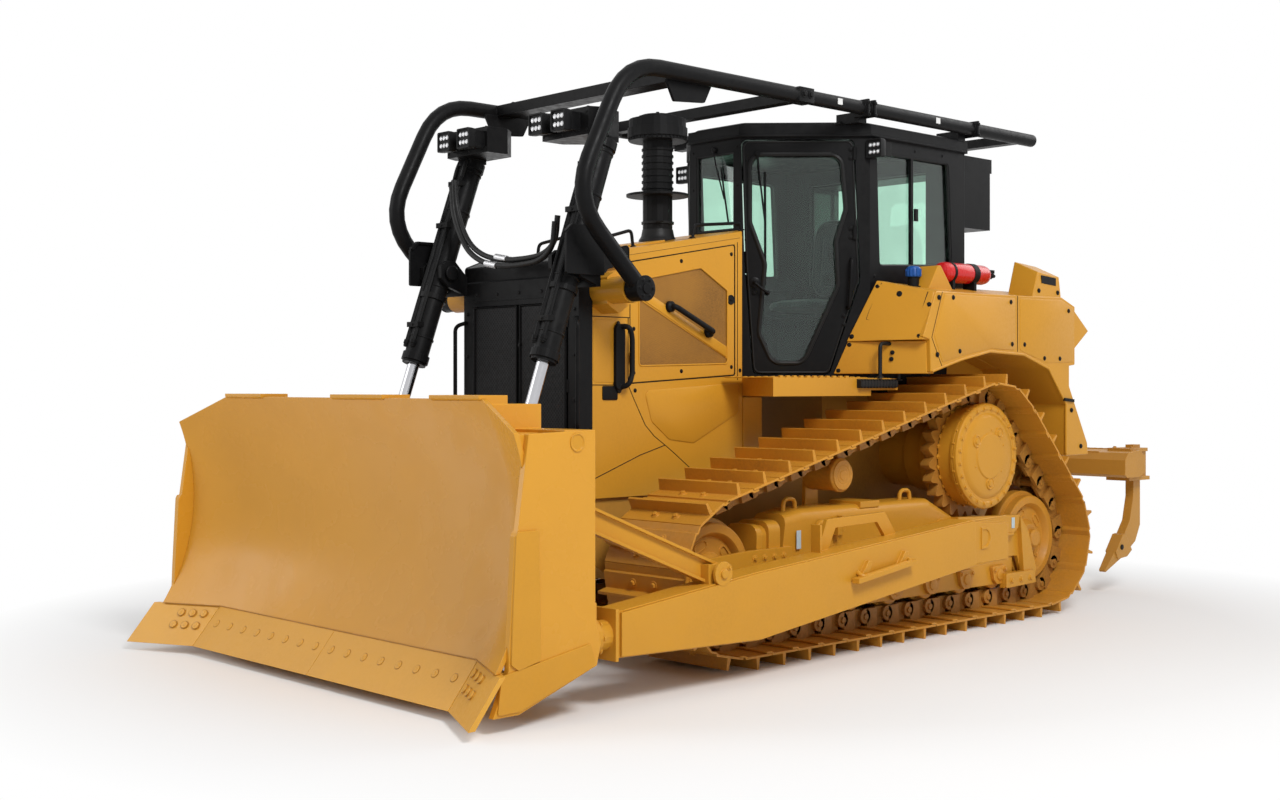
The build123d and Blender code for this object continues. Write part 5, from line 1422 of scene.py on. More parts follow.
# ---- lift cylinders
@dataclass(frozen=True)
class LiftCylinders:
    """Gland rings, trunnion caps, pipe clips and lamps on the two swinging barrels, and the rods' eyes.

    Args:
        x: width of a cylinder's axis.
        pivot: station and height of its trunnions.
        eye: station and height of its rod's eye.
    """

    x: float = 0.592
    pivot: Pair = (1.467, 2.19)
    eye: Pair = (0.988, 0.83)

    def heading(self) -> Array:
        """Unit direction from the trunnions to the rod's eye."""
        way = np.array([0.0, self.eye[0] - self.pivot[0], self.eye[1] - self.pivot[1]])
        return way / np.linalg.norm(way)

    def on(self, distance: float) -> Array:
        """Place on the axis at a distance below the trunnions."""
        return at(self.x, *self.pivot) + self.heading() * distance

    def barrels(self) -> None:
        """Bolted gland, weld rings, trunnion caps and pipe unions."""
        way = self.heading()
        u, v, _ = frame_of(way)
        a = np.linspace(0, 2 * np.pi, 8, endpoint=False) + 0.3
        spokes = np.cos(a)[:, None] * u + np.sin(a)[:, None] * v
        gland = turned(mm("0 56, 0 74, 20 74, 23 71, 23 56"), self.on(0.53), way, 40, True)
        heads = bolts(self.on(0.552) + spokes * 0.064, way, 0.008, 0.007)
        rings = [turned(mm("0 56, 0 70, 4 74, 12 74, 16 70, 16 56"), self.on(d), way, 36, True)
            for d in (-0.655, -0.4, 0.08, 0.4)]
        caps = [turned(mm("0 36, 4 44, 16 44, 19 40, 19 18"), at(self.x + sign * 0.108, *self.pivot),
            (sign, 0, 0), 28) for sign in (1, -1)]
        unions = [turned(mm("0 13, 0 21, 22 21, 22 17, 34 17, 34 13"), self.on(d)
            + np.array([dx, -0.078, -0.018]), way, 6) for d in (-0.62, 0.4) for dx in (-0.034, 0.034)]
        clips = bolts(np.array([self.on(d) + np.array([0.0, -0.1, -0.02]) for d in (-0.6, -0.33, 0.3)]),
            AHEAD, 0.008, 0.007)
        build("lift_barrel_rings", both(join(gland, heads, *rings, *caps, *unions, clips)), BLACK,
            "lift_barrels", 0.001)

    def hoses(self) -> None:
        """Two hoses from each barrel's pipes up into the lamp box's underside."""
        top = self.on(-0.72)
        runs = []
        for dx in (-0.034, 0.034):
            start = self.on(-0.64) + np.array([dx, -0.078, -0.018])
            path = curve(np.array([start, start + [0, 0.02, 0.06], start + [0, 0.05, 0.11],
                top + [dx * 1.5, 0.0, 0.024]]), 8)
            runs.append(piped(path, 0.014, 12))
        build("lift_barrel_hoses", both(join(*runs)), HOSE, "lift_barrels")
        loops, ends = [], []
        for rise, ahead in mm("0 0, 34 20"):
            path = curve(spots([(x, 1.452 + ahead, z + rise) for x, z in mm("-459 2700, -430 2520, "
                "-330 2345, -194 2251, -2 2207, 204 2202, 363 2222, 455 2290, 480 2420")]), 6)
            loops.append(piped(path, 0.016, 12))
            ends.append(pin(at(-0.13 + rise * 2, 1.452 + ahead, 2.226 + rise), at(-0.03 + rise * 2,
                1.452 + ahead, 2.208 + rise), 0.0195, 16))
        build("lift_cross_hoses", join(*loops), HOSE, "lift_barrels")
        build("lift_cross_unions", join(*ends), STEEL, "lift_barrels", 0.001)

    def box_fittings(self) -> None:
        """Bolts on the lamp boxes, and their lamps."""
        s, z = 1.7062, 2.8691
        heads = bolts(spots([(0.3, s - 0.12, z + 0.174), (0.6, s - 0.12, z + 0.174),
            (0.6, s + 0.06, z + 0.174), (0.36, s + 0.06, z + 0.174)]), UP, 0.008, 0.006)
        front = bolts(spots([(x, s - 0.15, z + h) for x in (0.265, 0.425, 0.625) for h in (0.045, 0.145)]),
            AHEAD, 0.007, 0.006)
        build("lamp_box_bolts", both(join(heads, front)), BLACK, "lift_barrels", 0.001)
        rows = [(at(sign * x, s - 0.206, z + 0.095), AHEAD, 0.118) for x in (0.33, 0.52) for sign in (1, -1)]
        lamps("lift_lamp", rows, "lift_barrels")

    def rod_eyes(self) -> None:
        """Pin heads and keeper bolts through the blade's lugs."""
        ends = [turned(mm("0 46, 10 46, 13 42, 13 12"), at(self.x + sign * 0.075, *self.eye), (sign, 0, 0),
            30) for sign in (1, -1)]
        keep = bolts(spots([(self.x + 0.075, self.eye[0] - 0.075, self.eye[1] + 0.02)]), LEFT, 0.01, 0.008)
        bar = box(self.x + 0.075, self.x + 0.083, self.eye[0] - 0.095, self.eye[0] - 0.03,
            self.eye[1] - 0.005, self.eye[1] + 0.035)
        build("lift_eye_pins", both(join(*ends, keep, bar)), BLADE_YELLOW, "blade_assembly", 0.001)
        yoke = bolts(spots([(x, 1.52 + k * 0.045, 2.15) for x in (0.702,) for k in range(2)]), LEFT, 0.011,
            0.01)
        caps = [turned(mm("0 60, 10 58, 14 50"), at(x, *self.pivot), (sign, 0, 0), 32)
            for x, sign in ((0.7, 1),)]
        hood = both(join(across(rounded(mm("1330 2120, 1330 2330, 1375 2385, 1540 2385, 1600 2300, "
            "1600 2120"), 0.012), 0.704, 0.72), across(rounded(mm("1330 2345, 1375 2385, 1540 2385, "
            "1540 2370, 1385 2370, 1345 2330"), 0.004), 0.69, 0.715)))
        build("lift_yoke_bolts", join(hood, both(join(yoke, *caps))), BLACK, "tractor", 0.001)

    def make(self) -> None:
        """Build every piece of the cylinders."""
        self.barrels()
        self.hoses()
        self.box_fittings()
        self.rod_eyes()


# ---- guard tubes
@dataclass(frozen=True)
class GuardTubes:
    """Bent tubes and cross beams over the cab in place of the plain ones, with clevises and bolts.

    Args:
        x: width of a side tube's axis.
        z: height of its level length.
        radius: its radius.
    """

    x: float = 0.85
    z: float = 3.256
    radius: float = 0.047

    def tubes(self) -> None:
        """Bent side tubes with their eyes, clevises and box lengths, the gussets, feet and cross beams."""
        x, z = self.x, self.z
        tube = bent_bar(((x, 1.74, 2.05), (x, 1.268, 2.505), (x, 1.64, z), (x, 3.06, z)), self.radius, 0.24,
            24)
        rear = bent_bar(((x, 3.04, z), (x, 4.2, z), (x, 5.536, z)), self.radius - 0.004, 0.2, 20)
        eye = turned(mm("0 62, 6 68, 94 68, 100 62"), at(0.79, 1.74, 2.05), LEFT, 40)
        clevis = [upright(rounded(((x - h, s0), (x + h, s0), (x + h, s1), (x - h, s1)), 0.006), z0, z1)
            for h, s0, s1, z0, z1 in mm("50 2990 3125 3212 3300, 58 3625 3645 3200 3305.5, "
            "58 3690 3710 3200 3305.5, 58 4800 4820 3200 3305.5")]
        gusset = across(rounded(mm("1960 3230, 2330 3230, 2270 3120, 2030 3100"), 0.012), x - 0.05, x - 0.03)
        feet = [join(box(0.64, x - 0.03, s, s + 0.08, 3.17, 3.238),
            box(0.64, 0.7, s - 0.03, s + 0.11, 3.17, 3.182)) for s in (3.64, 4.7)]
        beams = [facing(rounded(((-x, z0), (x, z0), (x, z1), (-x, z1)), 0.01), s0, s1)
            for s0, s1, z0, z1 in mm("2060 2200 3225 3292, 3020 3100 3225 3292, 5400 5490 3235 3296")]
        piece = build("guard_tube_frame", join(both(join(tube, rear, eye, gusset, *clevis, *feet)), *beams),
            BLACK, "tractor", 0.002)
        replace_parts(piece, "guard_tubes")

    def make(self) -> None:
        """Build the tubes and their fittings."""
        self.tubes()
        x, z = self.x, self.z
        places = [(x + 0.058, s, z + d) for s in (3.635, 3.7, 4.81) for d in (-0.045, 0.028)]
        heads = bolts(spots(places), LEFT, 0.008, 0.008)
        pins = bolts(spots([(x + 0.05, s, z + 0.004) for s in (3.03, 3.09)]), LEFT, 0.016, 0.014)
        foot = join(turned(mm("0 70, 8 70, 11 62, 11 30, 20 28, 20 12"), at(0.888, 1.74, 2.05), LEFT, 40),
            bolts(circle(0.898, 1.74, 2.05, 0.048, 6), LEFT, 0.008, 0.008))
        beam = bolts(spots([(b, s, 3.292) for b in (-0.68, 0.68) for s in (2.09, 2.17)]), UP, 0.011, 0.01)
        foot_heads = bolts(spots([(0.67, s + d, 3.187) for s in (3.68, 4.74) for d in (-0.052, 0.052)]), UP,
            0.01, 0.009)
        build("guard_tube_fittings", join(both(join(heads, pins, foot, foot_heads)), beam), BLACK, "tractor",
            0.001)
        squares = [box(x + 0.0425, x + 0.044, s, s + 0.045, z - 0.018, z + 0.02) for s in (3.35, 4.35)]
        build("guard_tube_squares", both(join(*squares)), WHITE, "tractor")


# ---- cab
@dataclass(frozen=True)
class Cab:
    """Seals, hinges, handles, wipers, lamps and trims of the cab, and its doors' own pieces.

    Args:
        nose: width and station of the front corner between windscreen and door.
        corner: width and station of the corner between door and side.
        rear: station of the rear wall.
    """

    nose: Pair = (0.22, 3.2)
    corner: Pair = (0.8, 3.78)
    rear: float = 4.8

    def on_door(self, rows: Rows) -> Array:
        """Places on the slanting door wall: distance from the nose, height, and distance out."""
        r = np.asarray(rows, float)
        k = math.sqrt(0.5)
        return spots(np.column_stack([self.nose[0] + (r[:, 0] + r[:, 2]) * k, self.nose[1]
            + (r[:, 0] - r[:, 2]) * k, r[:, 1]]))

    def seals(self) -> None:
        """Rubber strips round the fixed panes."""
        front = rounded(mm("-165 2520, 165 2520, 165 3010, -165 3010"), 0.012)
        rear = rounded(mm("-520 2250, 520 2250, 520 2990, -520 2990"), 0.012)
        parts = [bead(np.column_stack([front[:, 0], np.full(len(front), 3.212 + NOSE), front[:, 1]]), 0.01),
            bead(np.column_stack([rear[:, 0], np.full(len(rear), 4.786 + NOSE), rear[:, 1]]), 0.01)]
        side = bead(side_ring(mm("3880 2290, 3850 3010, 4620 3010, 4660 2330"), 0.786, 0.03), 0.01)
        build("cab_pane_seals", join(*parts, both(side)), HOSE, "tractor")

    def sides(self) -> None:
        """Divider and latch of the sliding side window, bolts and vents."""
        x = self.corner[0]
        divider = box(0.768, 0.792, 4.215, 4.24, 2.3, 3.01)
        latch = box(0.79, 0.806, 4.245, 4.275, 2.6, 2.68)
        heads = bolts(spots([(x, s, z) for s in (3.825, 4.7) for z in (1.72, 2.05, 2.22)]
            + [(x, s, 3.055) for s in (3.95, 4.25, 4.55)]), LEFT, 0.008, 0.006)
        vent = [box(x - 0.002, x + 0.006, 4.06, 4.42, z, z + 0.01) for z in np.arange(1.96, 2.1, 0.026)]
        build("cab_side_trim", both(join(divider, latch, heads, *vent)), BLACK, "tractor", 0.001)

    def roof(self) -> None:
        """Raised roof cap and gutter round the eaves."""
        k = math.sqrt(2) - 1
        out = 0.015
        left = [(self.nose[0] + out * k, self.nose[1] - out), (self.corner[0] + out,
            self.corner[1] - out * k), (self.corner[0] + out, self.rear + out)]
        plan = np.array(left + [(-a, b) for a, b in reversed(left)])
        ring = rounded(plan, 0.05)
        middle = ring.mean(0)

        def level(scale: float, z: float) -> Array:
            flat = middle + (ring - middle) * scale
            return np.column_stack([flat[:, 0], flat[:, 1] + NOSE, np.full(len(flat), z)])

        cap = lofted(np.stack([level(0.93, 3.17), level(0.93, 3.19), level(0.915, 3.197), level(0.5, 3.199)]))
        build("cab_roof_cap", cap, BLACK, "tractor", crease=30)
        gutter = bead(np.column_stack([middle[0] + (ring[:, 0] - middle[0]) * 1.004, middle[1]
            + (ring[:, 1] - middle[1]) * 1.004 + NOSE, np.full(len(ring), 3.104)]), 0.008)
        build("cab_gutter", gutter, PLASTIC, "tractor")

    def doors(self) -> None:
        """Window seals, hinges, lever handles, lock plates and edge trims, which swing with the doors."""
        window = mm("62 2990, 640 2990, 668 2640, 606 2440, 620 2160, 400 1670, 205 1670, 118 1860, "
            "158 2300, 62 2560")
        flat = rounded(window, 0.085, 9)
        seal = bead(self.on_door(np.column_stack([flat, np.full(len(flat), -0.004)])), 0.016)
        sharp = rounded(window, 0.02, 9)
        ring = np.stack([self.on_door(np.column_stack([f, np.full(len(f), d)])) for f, d in ((sharp, -0.012),
            (sharp, 0.002), (flat, 0.002), (flat, -0.012))])
        mask = lofted(ring, closed=True)
        frame = mm("22 3068, 708 3068, 745 2196, 556 1612, 92 1612, 45 2300")
        outer = rounded(frame, 0.04)
        edge = bead(self.on_door(np.column_stack([outer, np.full(len(outer), 0.001)])), 0.006)
        lever = piped(curve(self.on_door(mm("90 2180 4, 92 2180 36, 100 2170 48, 150 2130 50, 185 2105 48"))),
            0.01, 12)
        k = math.sqrt(0.5)
        out = (k, -k, 0.0)
        plate = turned(mm("0 36, 6 36, 9 30"), self.on_door(((0.092, 2.18, -0.001),))[0], out, 28)
        lock = turned(mm("0 16, 10 16, 12 12"), self.on_door(((0.092, 2.118, 0.0),))[0], out, 20)
        hinges = []
        for z in (1.9, 2.45, 2.95):
            p = self.on_door(((0.722, z, 0.01), (0.722, z + 0.085, 0.01)))
            u = 0.7 if z > 2.2 else 0.655
            q = self.on_door(((u, z + 0.015, 0.006), (u, z + 0.07, 0.006)))
            hinges += [pin(p[0], p[1], 0.012, 14)] if z > 2.2 else []
            hinges += [bolts(q, out, 0.009, 0.007)]
        rail = self.on_door(mm("675 2020 0, 685 2040 50, 700 2300 50, 700 2320 0"))
        pull = piped(curve(rail, 8), 0.011, 12)
        dots = bolts(self.on_door([(0.04, z, 0.0) for z in (2.45, 2.7, 2.95)]), out, 0.007, 0.005)
        wiper = self.wiper()
        for side, turn in SIDES:
            body = f"cab_door_{side}"
            build(f"cab_door_seals_{side}", turn(join(seal, edge)), HOSE, body)
            build(f"cab_door_fittings_{side}", turn(join(lever, plate, lock, *hinges, pull, dots, mask)),
                BLACK, body, 0.001)
            build(f"cab_door_wiper_{side}", turn(wiper), PLASTIC, body)

    def wiper(self) -> Shell:
        """Wiper of a door pane: motor boss, sprung arm and rubber blade."""
        k = math.sqrt(0.5)
        boss = turned(mm("0 20, 12 20, 18 13"), self.on_door(((0.11, 2.99, 0.0),))[0], (k, -k, 0), 20)
        arm = piped(self.on_door(mm("110 2990 16, 118 2900 14, 160 2550 6")), 0.006, 8)
        blade = piped(self.on_door(mm("158 2880 0, 160 2550 -2, 160 2160 -4")), 0.008, 8)
        return join(boss, arm, blade)

    def front(self) -> None:
        """Windscreen's wiper with its bolts, and the corner and rear lamps."""
        y = self.nose[1]
        boss = turned(mm("0 20, 12 20, 18 13"), at(0.0, y, 3.04), AHEAD, 20)
        arm = piped(spots(((0.0, y - 0.016, 3.04), (0.02, y - 0.014, 2.95), (0.08, y + 0.004, 2.72))), 0.005,
            8)
        blade = piped(spots(((0.045, y + 0.01, 2.93), (0.08, y + 0.012, 2.72), (0.11, y + 0.012, 2.56))),
            0.006, 8)
        heads = bolts(spots([(x, y, z) for x in (-0.195, 0.195) for z in (2.55, 2.8, 3.04)]), AHEAD, 0.008,
            0.006)
        build("windscreen_wiper", join(boss, arm, blade, heads), PLASTIC, "tractor")
        rows = [(at(sign * 0.852, 3.812, 3.018), AHEAD, 0.118) for sign in (1, -1)]
        rows += [(at(sign * 0.4, 5.15, 3.045), BACK, 0.085) for sign in (1, -1)]
        lamps("cab_lamp", rows, "tractor")

    def make(self) -> None:
        """Build every piece of the cab's outside."""
        self.seals()
        self.sides()
        self.roof()
        self.doors()
        self.front()


@dataclass(frozen=True)
class DriversPlace:
    """Padded seat, arm rests' pads, levers, dash display and pedals behind the panes.

    Args:
        cushion: station, height and half sizes (width, depth, thickness) of the seat's cushion.
        back: the same of the back rest, whose depth stands upright.
    """

    cushion: tuple[float, float, float, float, float] = (4.15, 2.062, 0.246, 0.246, 0.056)
    back: tuple[float, float, float, float, float] = (4.44, 2.42, 0.226, 0.275, 0.045)

    def pad(self, half: tuple[float, float, float], count: int = 72) -> Array:
        """Crowned pad as rings about its own middle.

        The rim is a superellipse of power 3.4 pulled in by 4% between its corners. Over it the height is
        the thickness times (1 - r^2.6) to the power 0.42, less 5 mm in each of two sewn channels.

        Args:
            half: half width, half depth and half thickness.
            count: points round it.

        Returns:
            Rings from the middle of the underside to the middle of the top.
        """
        a = np.linspace(0, 2 * np.pi, count, endpoint=False)
        grow = (np.abs(np.cos(a)) ** 3.4 + np.abs(np.sin(a)) ** 3.4) ** (-1 / 3.4)
        grow *= 1 - 0.04 * np.cos(2 * a) ** 2 + 0.04 * np.sin(2 * a) ** 2 * 0.5
        r = np.concatenate([np.linspace(0.02, 1, 22), np.linspace(1, 0.02, 26)])
        side = np.concatenate([-np.ones(22), np.ones(26)])
        x = r[:, None] * (grow * np.cos(a))[None] * half[0]
        y = r[:, None] * (grow * np.sin(a))[None] * half[1]
        crown = (1 - r ** 2.6) ** 0.42
        channel = np.exp(-((np.abs(x) - half[0] * 0.52) / 0.006) ** 2) * (side[:, None] > 0)
        piping = np.exp(-((r - 0.9) / 0.02) ** 2) * 0.12 * (side > 0)
        share = np.where(side[:, None] > 0, 1.0, 0.6)
        z = side[:, None] * half[2] * (crown + piping)[:, None] * share - 0.008 * channel
        return np.stack([x, y, z], 2)

    def seat(self) -> None:
        """Cushion and back rest as crowned cloth pads, on a moulded shell with a sprung base."""
        s, z, w, d, t = self.cushion
        rings = self.pad((w, d, t))
        seat = build("seat_cushion", lofted(rings + at(0, s, z)), SEAT_CLOTH, "tractor", crease=60)
        s, z, w, d, t = self.back
        rings = self.pad((w, d, t))[:, :, [0, 2, 1]] * [1, -1, 1]
        lean = 0.1
        rings[:, :, 1] += rings[:, :, 2] * lean
        rest = build("seat_back", lofted(rings + at(0, s - 0.005, z)), SEAT_CLOTH, "tractor", crease=60)
        shell = join(box(-0.22, 0.22, 3.93, 4.37, 1.985, 2.008), box(-0.17, 0.17, 3.99, 4.35, 1.6, 1.66))
        folds = [box(-0.165 - 0.006 * (k % 2), 0.165 + 0.006 * (k % 2), 3.995 - 0.006 * (k % 2),
            4.345 + 0.006 * (k % 2), 1.66 + 0.04 * k, 1.7 + 0.04 * k) for k in range(8)]
        spine = across(mm("4452 2100, 4487 2100, 4545 2660, 4510 2660"), -0.14, 0.14)
        base = build("seat_base", join(shell, *folds, spine), TRIM, "tractor", 0.004)
        for piece in (seat, rest, base):
            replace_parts(piece, "seat")

    def controls(self) -> None:
        """Levers with grips, pads on the arm rests, the dash display, and two pedals."""
        parts = []
        for sign in (-1, 1):
            x = sign * 0.345
            stem = piped(curve(spots(((x, 3.99, 2.255), (x, 3.985, 2.3), (x - sign * 0.01, 3.975, 2.335)))),
                0.009, 10)
            grip = turned(mm("0 16, 12 22, 50 24, 85 27, 105 22, 112 10"), at(x - sign * 0.01, 3.975, 2.33),
                (0, -0.12, 1), 20)
            rings = self.pad((0.07, 0.165, 0.018), 40) + at(x, 4.13, 2.268)
            parts += [stem, grip, lofted(rings)]
        screen = join(box(-0.13, 0.13, 3.375, 3.4, 2.255, 2.395), box(-0.02, 0.02, 3.385, 3.415, 2.22, 2.27))
        build("cab_controls", join(*parts, screen), TRIM, "tractor", 0.002)
        glow = box(-0.115, 0.115, 3.4, 3.402, 2.27, 2.38)
        dials = [turned(mm("0 18, 3 18, 4 15"), at(x, 3.47, 2.185), (0, 0.75, 0.66), 20)
            for x in (-0.09, -0.03, 0.03, 0.09)]
        build("dash_display", join(glow, *dials), PLASTIC, "tractor", 0.001)
        pedals = [across(mm("3600 1600, 3660 1610, 3600 1730, 3580 1720"), x0, x0 + 0.09)
            for x0 in (-0.14, 0.05)]
        build("cab_pedals", join(*pedals), TRIM, "tractor", 0.004)

    def make(self) -> None:
        """Build the driver's place."""
        self.seat()
        self.controls()


# ---- fenders, tank and decks
@dataclass(frozen=True)
class Fenders:
    """Panels, bolts, straps, caps and the extinguisher on the boxes over the tracks.

    Args:
        inner: inner width of a fender.
        outer: outer width of a fender.
        body: the body that carries them.
    """

    inner: float = 0.8
    outer: float = 1.2
    body: str = "tractor"

    def box(self) -> None:
        """Box over the track with arch, crowned top, raised tail box and saddle, for the plain one."""
        x0, x1 = self.inner, self.outer
        profile = mm("3884 1612, 4200 1690, 4508 1745, 4900 1730, 5200 1640, 5420 1400, 5420 1050, "
            "5700 1050, 5690 1130, 5457 1525, 5457 1664, 5528 1672, 5528 2072, 5362 2130, 5000 2124, "
            "3925 2111, 3795 1828, 3862 1812, 3872 1612")
        shell = across(profile, x0, x1)
        crown = facing(((x0, 2.09), (x1 - 0.003, 2.09), (x1 - 0.003, 2.116), (x0, 2.186)), 3.935, 5.35)
        base = np.array([*mm("1000 5000, 1197 5000, 1197 5361, 1000 5361")])
        low = spots(np.column_stack([base, np.full(4, 2.11)]))
        high = spots(mm("1000 5090 2371, 1184 5090 2292, 1184 5352 2268, 1000 5352 2350"))
        tail = lofted(np.stack([low, high]))
        saddle = across(mm("4040 2140, 4142 2292, 4172 2292, 4310 2130"), 0.9, 1.06)
        plate = across(mm("5500 2090, 5741 1910, 5546 1774, 5500 1774"), 1.15, 1.178)
        left = join(shell, crown, tail, saddle, plate)
        for side, turn in SIDES:
            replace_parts(build(f"fender_box_{side}", turn(left), YELLOW, self.body, 0.006), f"fender_{side}")

    def on_front(self, rows: Rows, upper: bool = True) -> Array:
        """Places on the front's upper or lower face, blended between its corners by two shares of one."""
        corners = spots(mm("700 3668 1806, 1190 3798 1812, 1190 3920 2112, 836 3800 2190") if upper
            else mm("640 3612 1602, 1172 3868 1602, 1172 3858 1806, 703 3676 1806"))
        u, v = np.asarray(rows, float).T[:, :, None]
        return (corners[0] * (1 - u) + corners[1] * u) * (1 - v) + (corners[3] * (1 - u) + corners[2] * u) * v

    def front(self) -> None:
        """Slanting front faces that run over the door's wall, with hatch, latch, seam and bolts."""
        square = ((0, 0), (1, 0), (1, 1), (0, 1))
        faces = [lofted(np.stack([self.on_front(square, up), self.on_front(square, up)
            + np.array([0, 0.075, 0])])) for up in (True, False)]
        build("fender_fronts", both(join(*faces)), YELLOW, self.body, 0.005)
        hatch = curve(self.on_front(mm("100 980, 120 450, 180 360, 500 340, 800 360, 870 450, 900 970")), 8)
        latch = self.on_front(((0.46, 0.84),))[0]
        k = turned(mm("-2 20, 6 20, 9 14"), latch, (0.26, -0.92, 0.3), 20)
        heads = bolts(self.on_front(mm("60 920, 40 80, 940 80, 970 720")), (0.26, -0.92, 0.3), 0.01, 0.008)
        low = bolts(self.on_front(mm("40 900, 40 100, 600 450, 600 650"), False), (0.43, -0.9, 0.0), 0.009,
            0.007)
        build("fender_front_bolts", both(join(k, heads, low)), SATIN_BLACK, self.body)
        build("fender_hatch_lines", both(piped(hatch, 0.0028, 6)), SATIN_BLACK, self.body)

    def panels(self) -> None:
        """Raised side panels and the seam between them."""
        x = self.outer
        front = pan(mm("3990 1672, 3905 1835, 4010 2098, 4795 2104, 4795 1760, 4508 1768, 4200 1718"),
            x - 0.002, x + 0.004, 0.02)
        rear = pan(mm("4850 1760, 4850 2104, 5345 2112, 5510 2058, 5510 1690, 5180 1680"), x - 0.002,
            x + 0.004, 0.02)
        build("fender_panels", both(join(front, rear)), YELLOW, self.body, crease=50)
        lines = [seam([(x + 0.0004, 4.822, 1.752), (x + 0.0004, 4.822, 2.12)], 0.005),
            seam([(x + 0.0004, 3.99, 1.64), (x + 0.0004, 3.88, 1.826), (x + 0.0004, 3.99, 2.11)], 0.004)]
        slot = across(mm("5125 2218, 5125 2270, 5300 2258, 5300 2206"), 1.18, 1.1925)
        strap = across(mm("5380 1425, 5380 1445, 5500 1435, 5500 1415"), x - 0.002, x + 0.014)
        build("fender_seams", both(join(slot, strap, *lines)), SATIN_BLACK, self.body)
        places = [*mm("3952 2075, 4100 2080, 4740 2075, 3935 1720, 4170 1745, 4755 1800, 4900 1800, "
            "5086 2165, 5317 2160, 5140 1712, 5330 1712, 5440 2040, 5480 1360, 5600 1110")]
        heads = bolts(spots([(x + (0.004 if z < 2.13 else -0.004), s, z) for s, z in places]), LEFT, 0.01,
            0.008)
        build("fender_bolts", both(heads), SATIN_BLACK, self.body)

    def lip(self) -> None:
        """Rolled lip along the arch over the sprocket."""
        arch = mm("3884 1612, 4200 1690, 4508 1745, 4900 1730, 5200 1640, 5420 1400, 5420 1062")
        edge = spots([(self.outer - 0.004, s, z + 0.004) for s, z in arch])
        build("fender_lips", both(piped(edge, 0.01, 10)), YELLOW, self.body)

    def caps(self) -> None:
        """Blue filler cap on its black neck."""
        foot = at(0.935, 4.05, 2.15)
        neck = turned(mm("0 55, 10 55, 12 36, 92 36"), foot, UP, 32)
        build("filler_necks", both(neck), PLASTIC, self.body)
        a = np.linspace(0, 2 * np.pi, 14, endpoint=False)
        cap = turned(mm("70 40, 70 47, 122 46, 132 40, 138 26, 140 8"), foot, UP, 40)
        c, n, o = np.cos(a), np.sin(a), np.zeros(14)
        turns = np.moveaxis(np.array([[c, -n, o], [n, c, o], [o, o, o + 1]]), 2, 0)
        ribs = copies(box(0.042, 0.051, -0.004 - NOSE, 0.004 - NOSE, 0.075, 0.12), foot + np.zeros((14, 3)),
            turns)
        build("filler_caps", both(join(cap, ribs)), BLUE, self.body, 0.001)

    def extinguisher(self) -> None:
        """Red extinguisher lying on the left fender in two black bands, with its valve and gauge."""
        x, z = 0.93, 2.268
        body = turned(mm("0 12, 6 40, 18 58, 40 66, 470 66, 500 60, 525 40, 540 22, 560 20"), at(x, 4.33, z),
            BACK, 36)
        build("extinguisher_bottle", body, RED, self.body)
        bands = [turned(((0, 0.067), (0, 0.07), (w, 0.07), (w, 0.067)), at(x, s, z), BACK, 36)
            for s, w in mm("4420 24, 4640 60")]
        cradles = [box(x - 0.045, x + 0.045, s, s + 0.026, 2.14, z - 0.05) for s in (4.42, 4.66)]
        valve = join(turned(mm("0 22, 30 22, 36 14, 70 12"), at(x, 4.885, z), BACK, 20), box(x - 0.008,
            x + 0.008, 4.885, 4.95, z + 0.018, z + 0.04), turned(mm("0 16, 10 16, 12 13"),
            at(x + 0.02, 4.9, z), LEFT, 18))
        build("extinguisher_fittings", join(*bands, *cradles, valve), SATIN_BLACK, self.body, 0.001)

    def step(self) -> None:
        """Black tread and hand hoop at the deck's rear end."""
        x = 0.955
        hoop = grab(((x, 3.683, 1.576), (x, 3.683, 1.79), (x, 3.868, 1.79), (x, 3.868, 1.56)), 0.0125, 0.035)
        tread = facing(rounded(mm("895 1515, 985 1515, 985 1560, 895 1582"), 0.01), 3.46, 3.825)
        ribs = [box(0.9, 0.987, s, s + 0.008, 1.513, 1.566) for s in np.arange(3.47, 3.815, 0.03)]
        build("deck_steps", both(join(hoop, tread, *ribs)), HOSE, self.body, 0.001)

    def make(self) -> None:
        """Build every piece of the fenders."""
        self.box()
        self.front()
        self.panels()
        self.lip()
        self.caps()
        self.extinguisher()
        self.step()


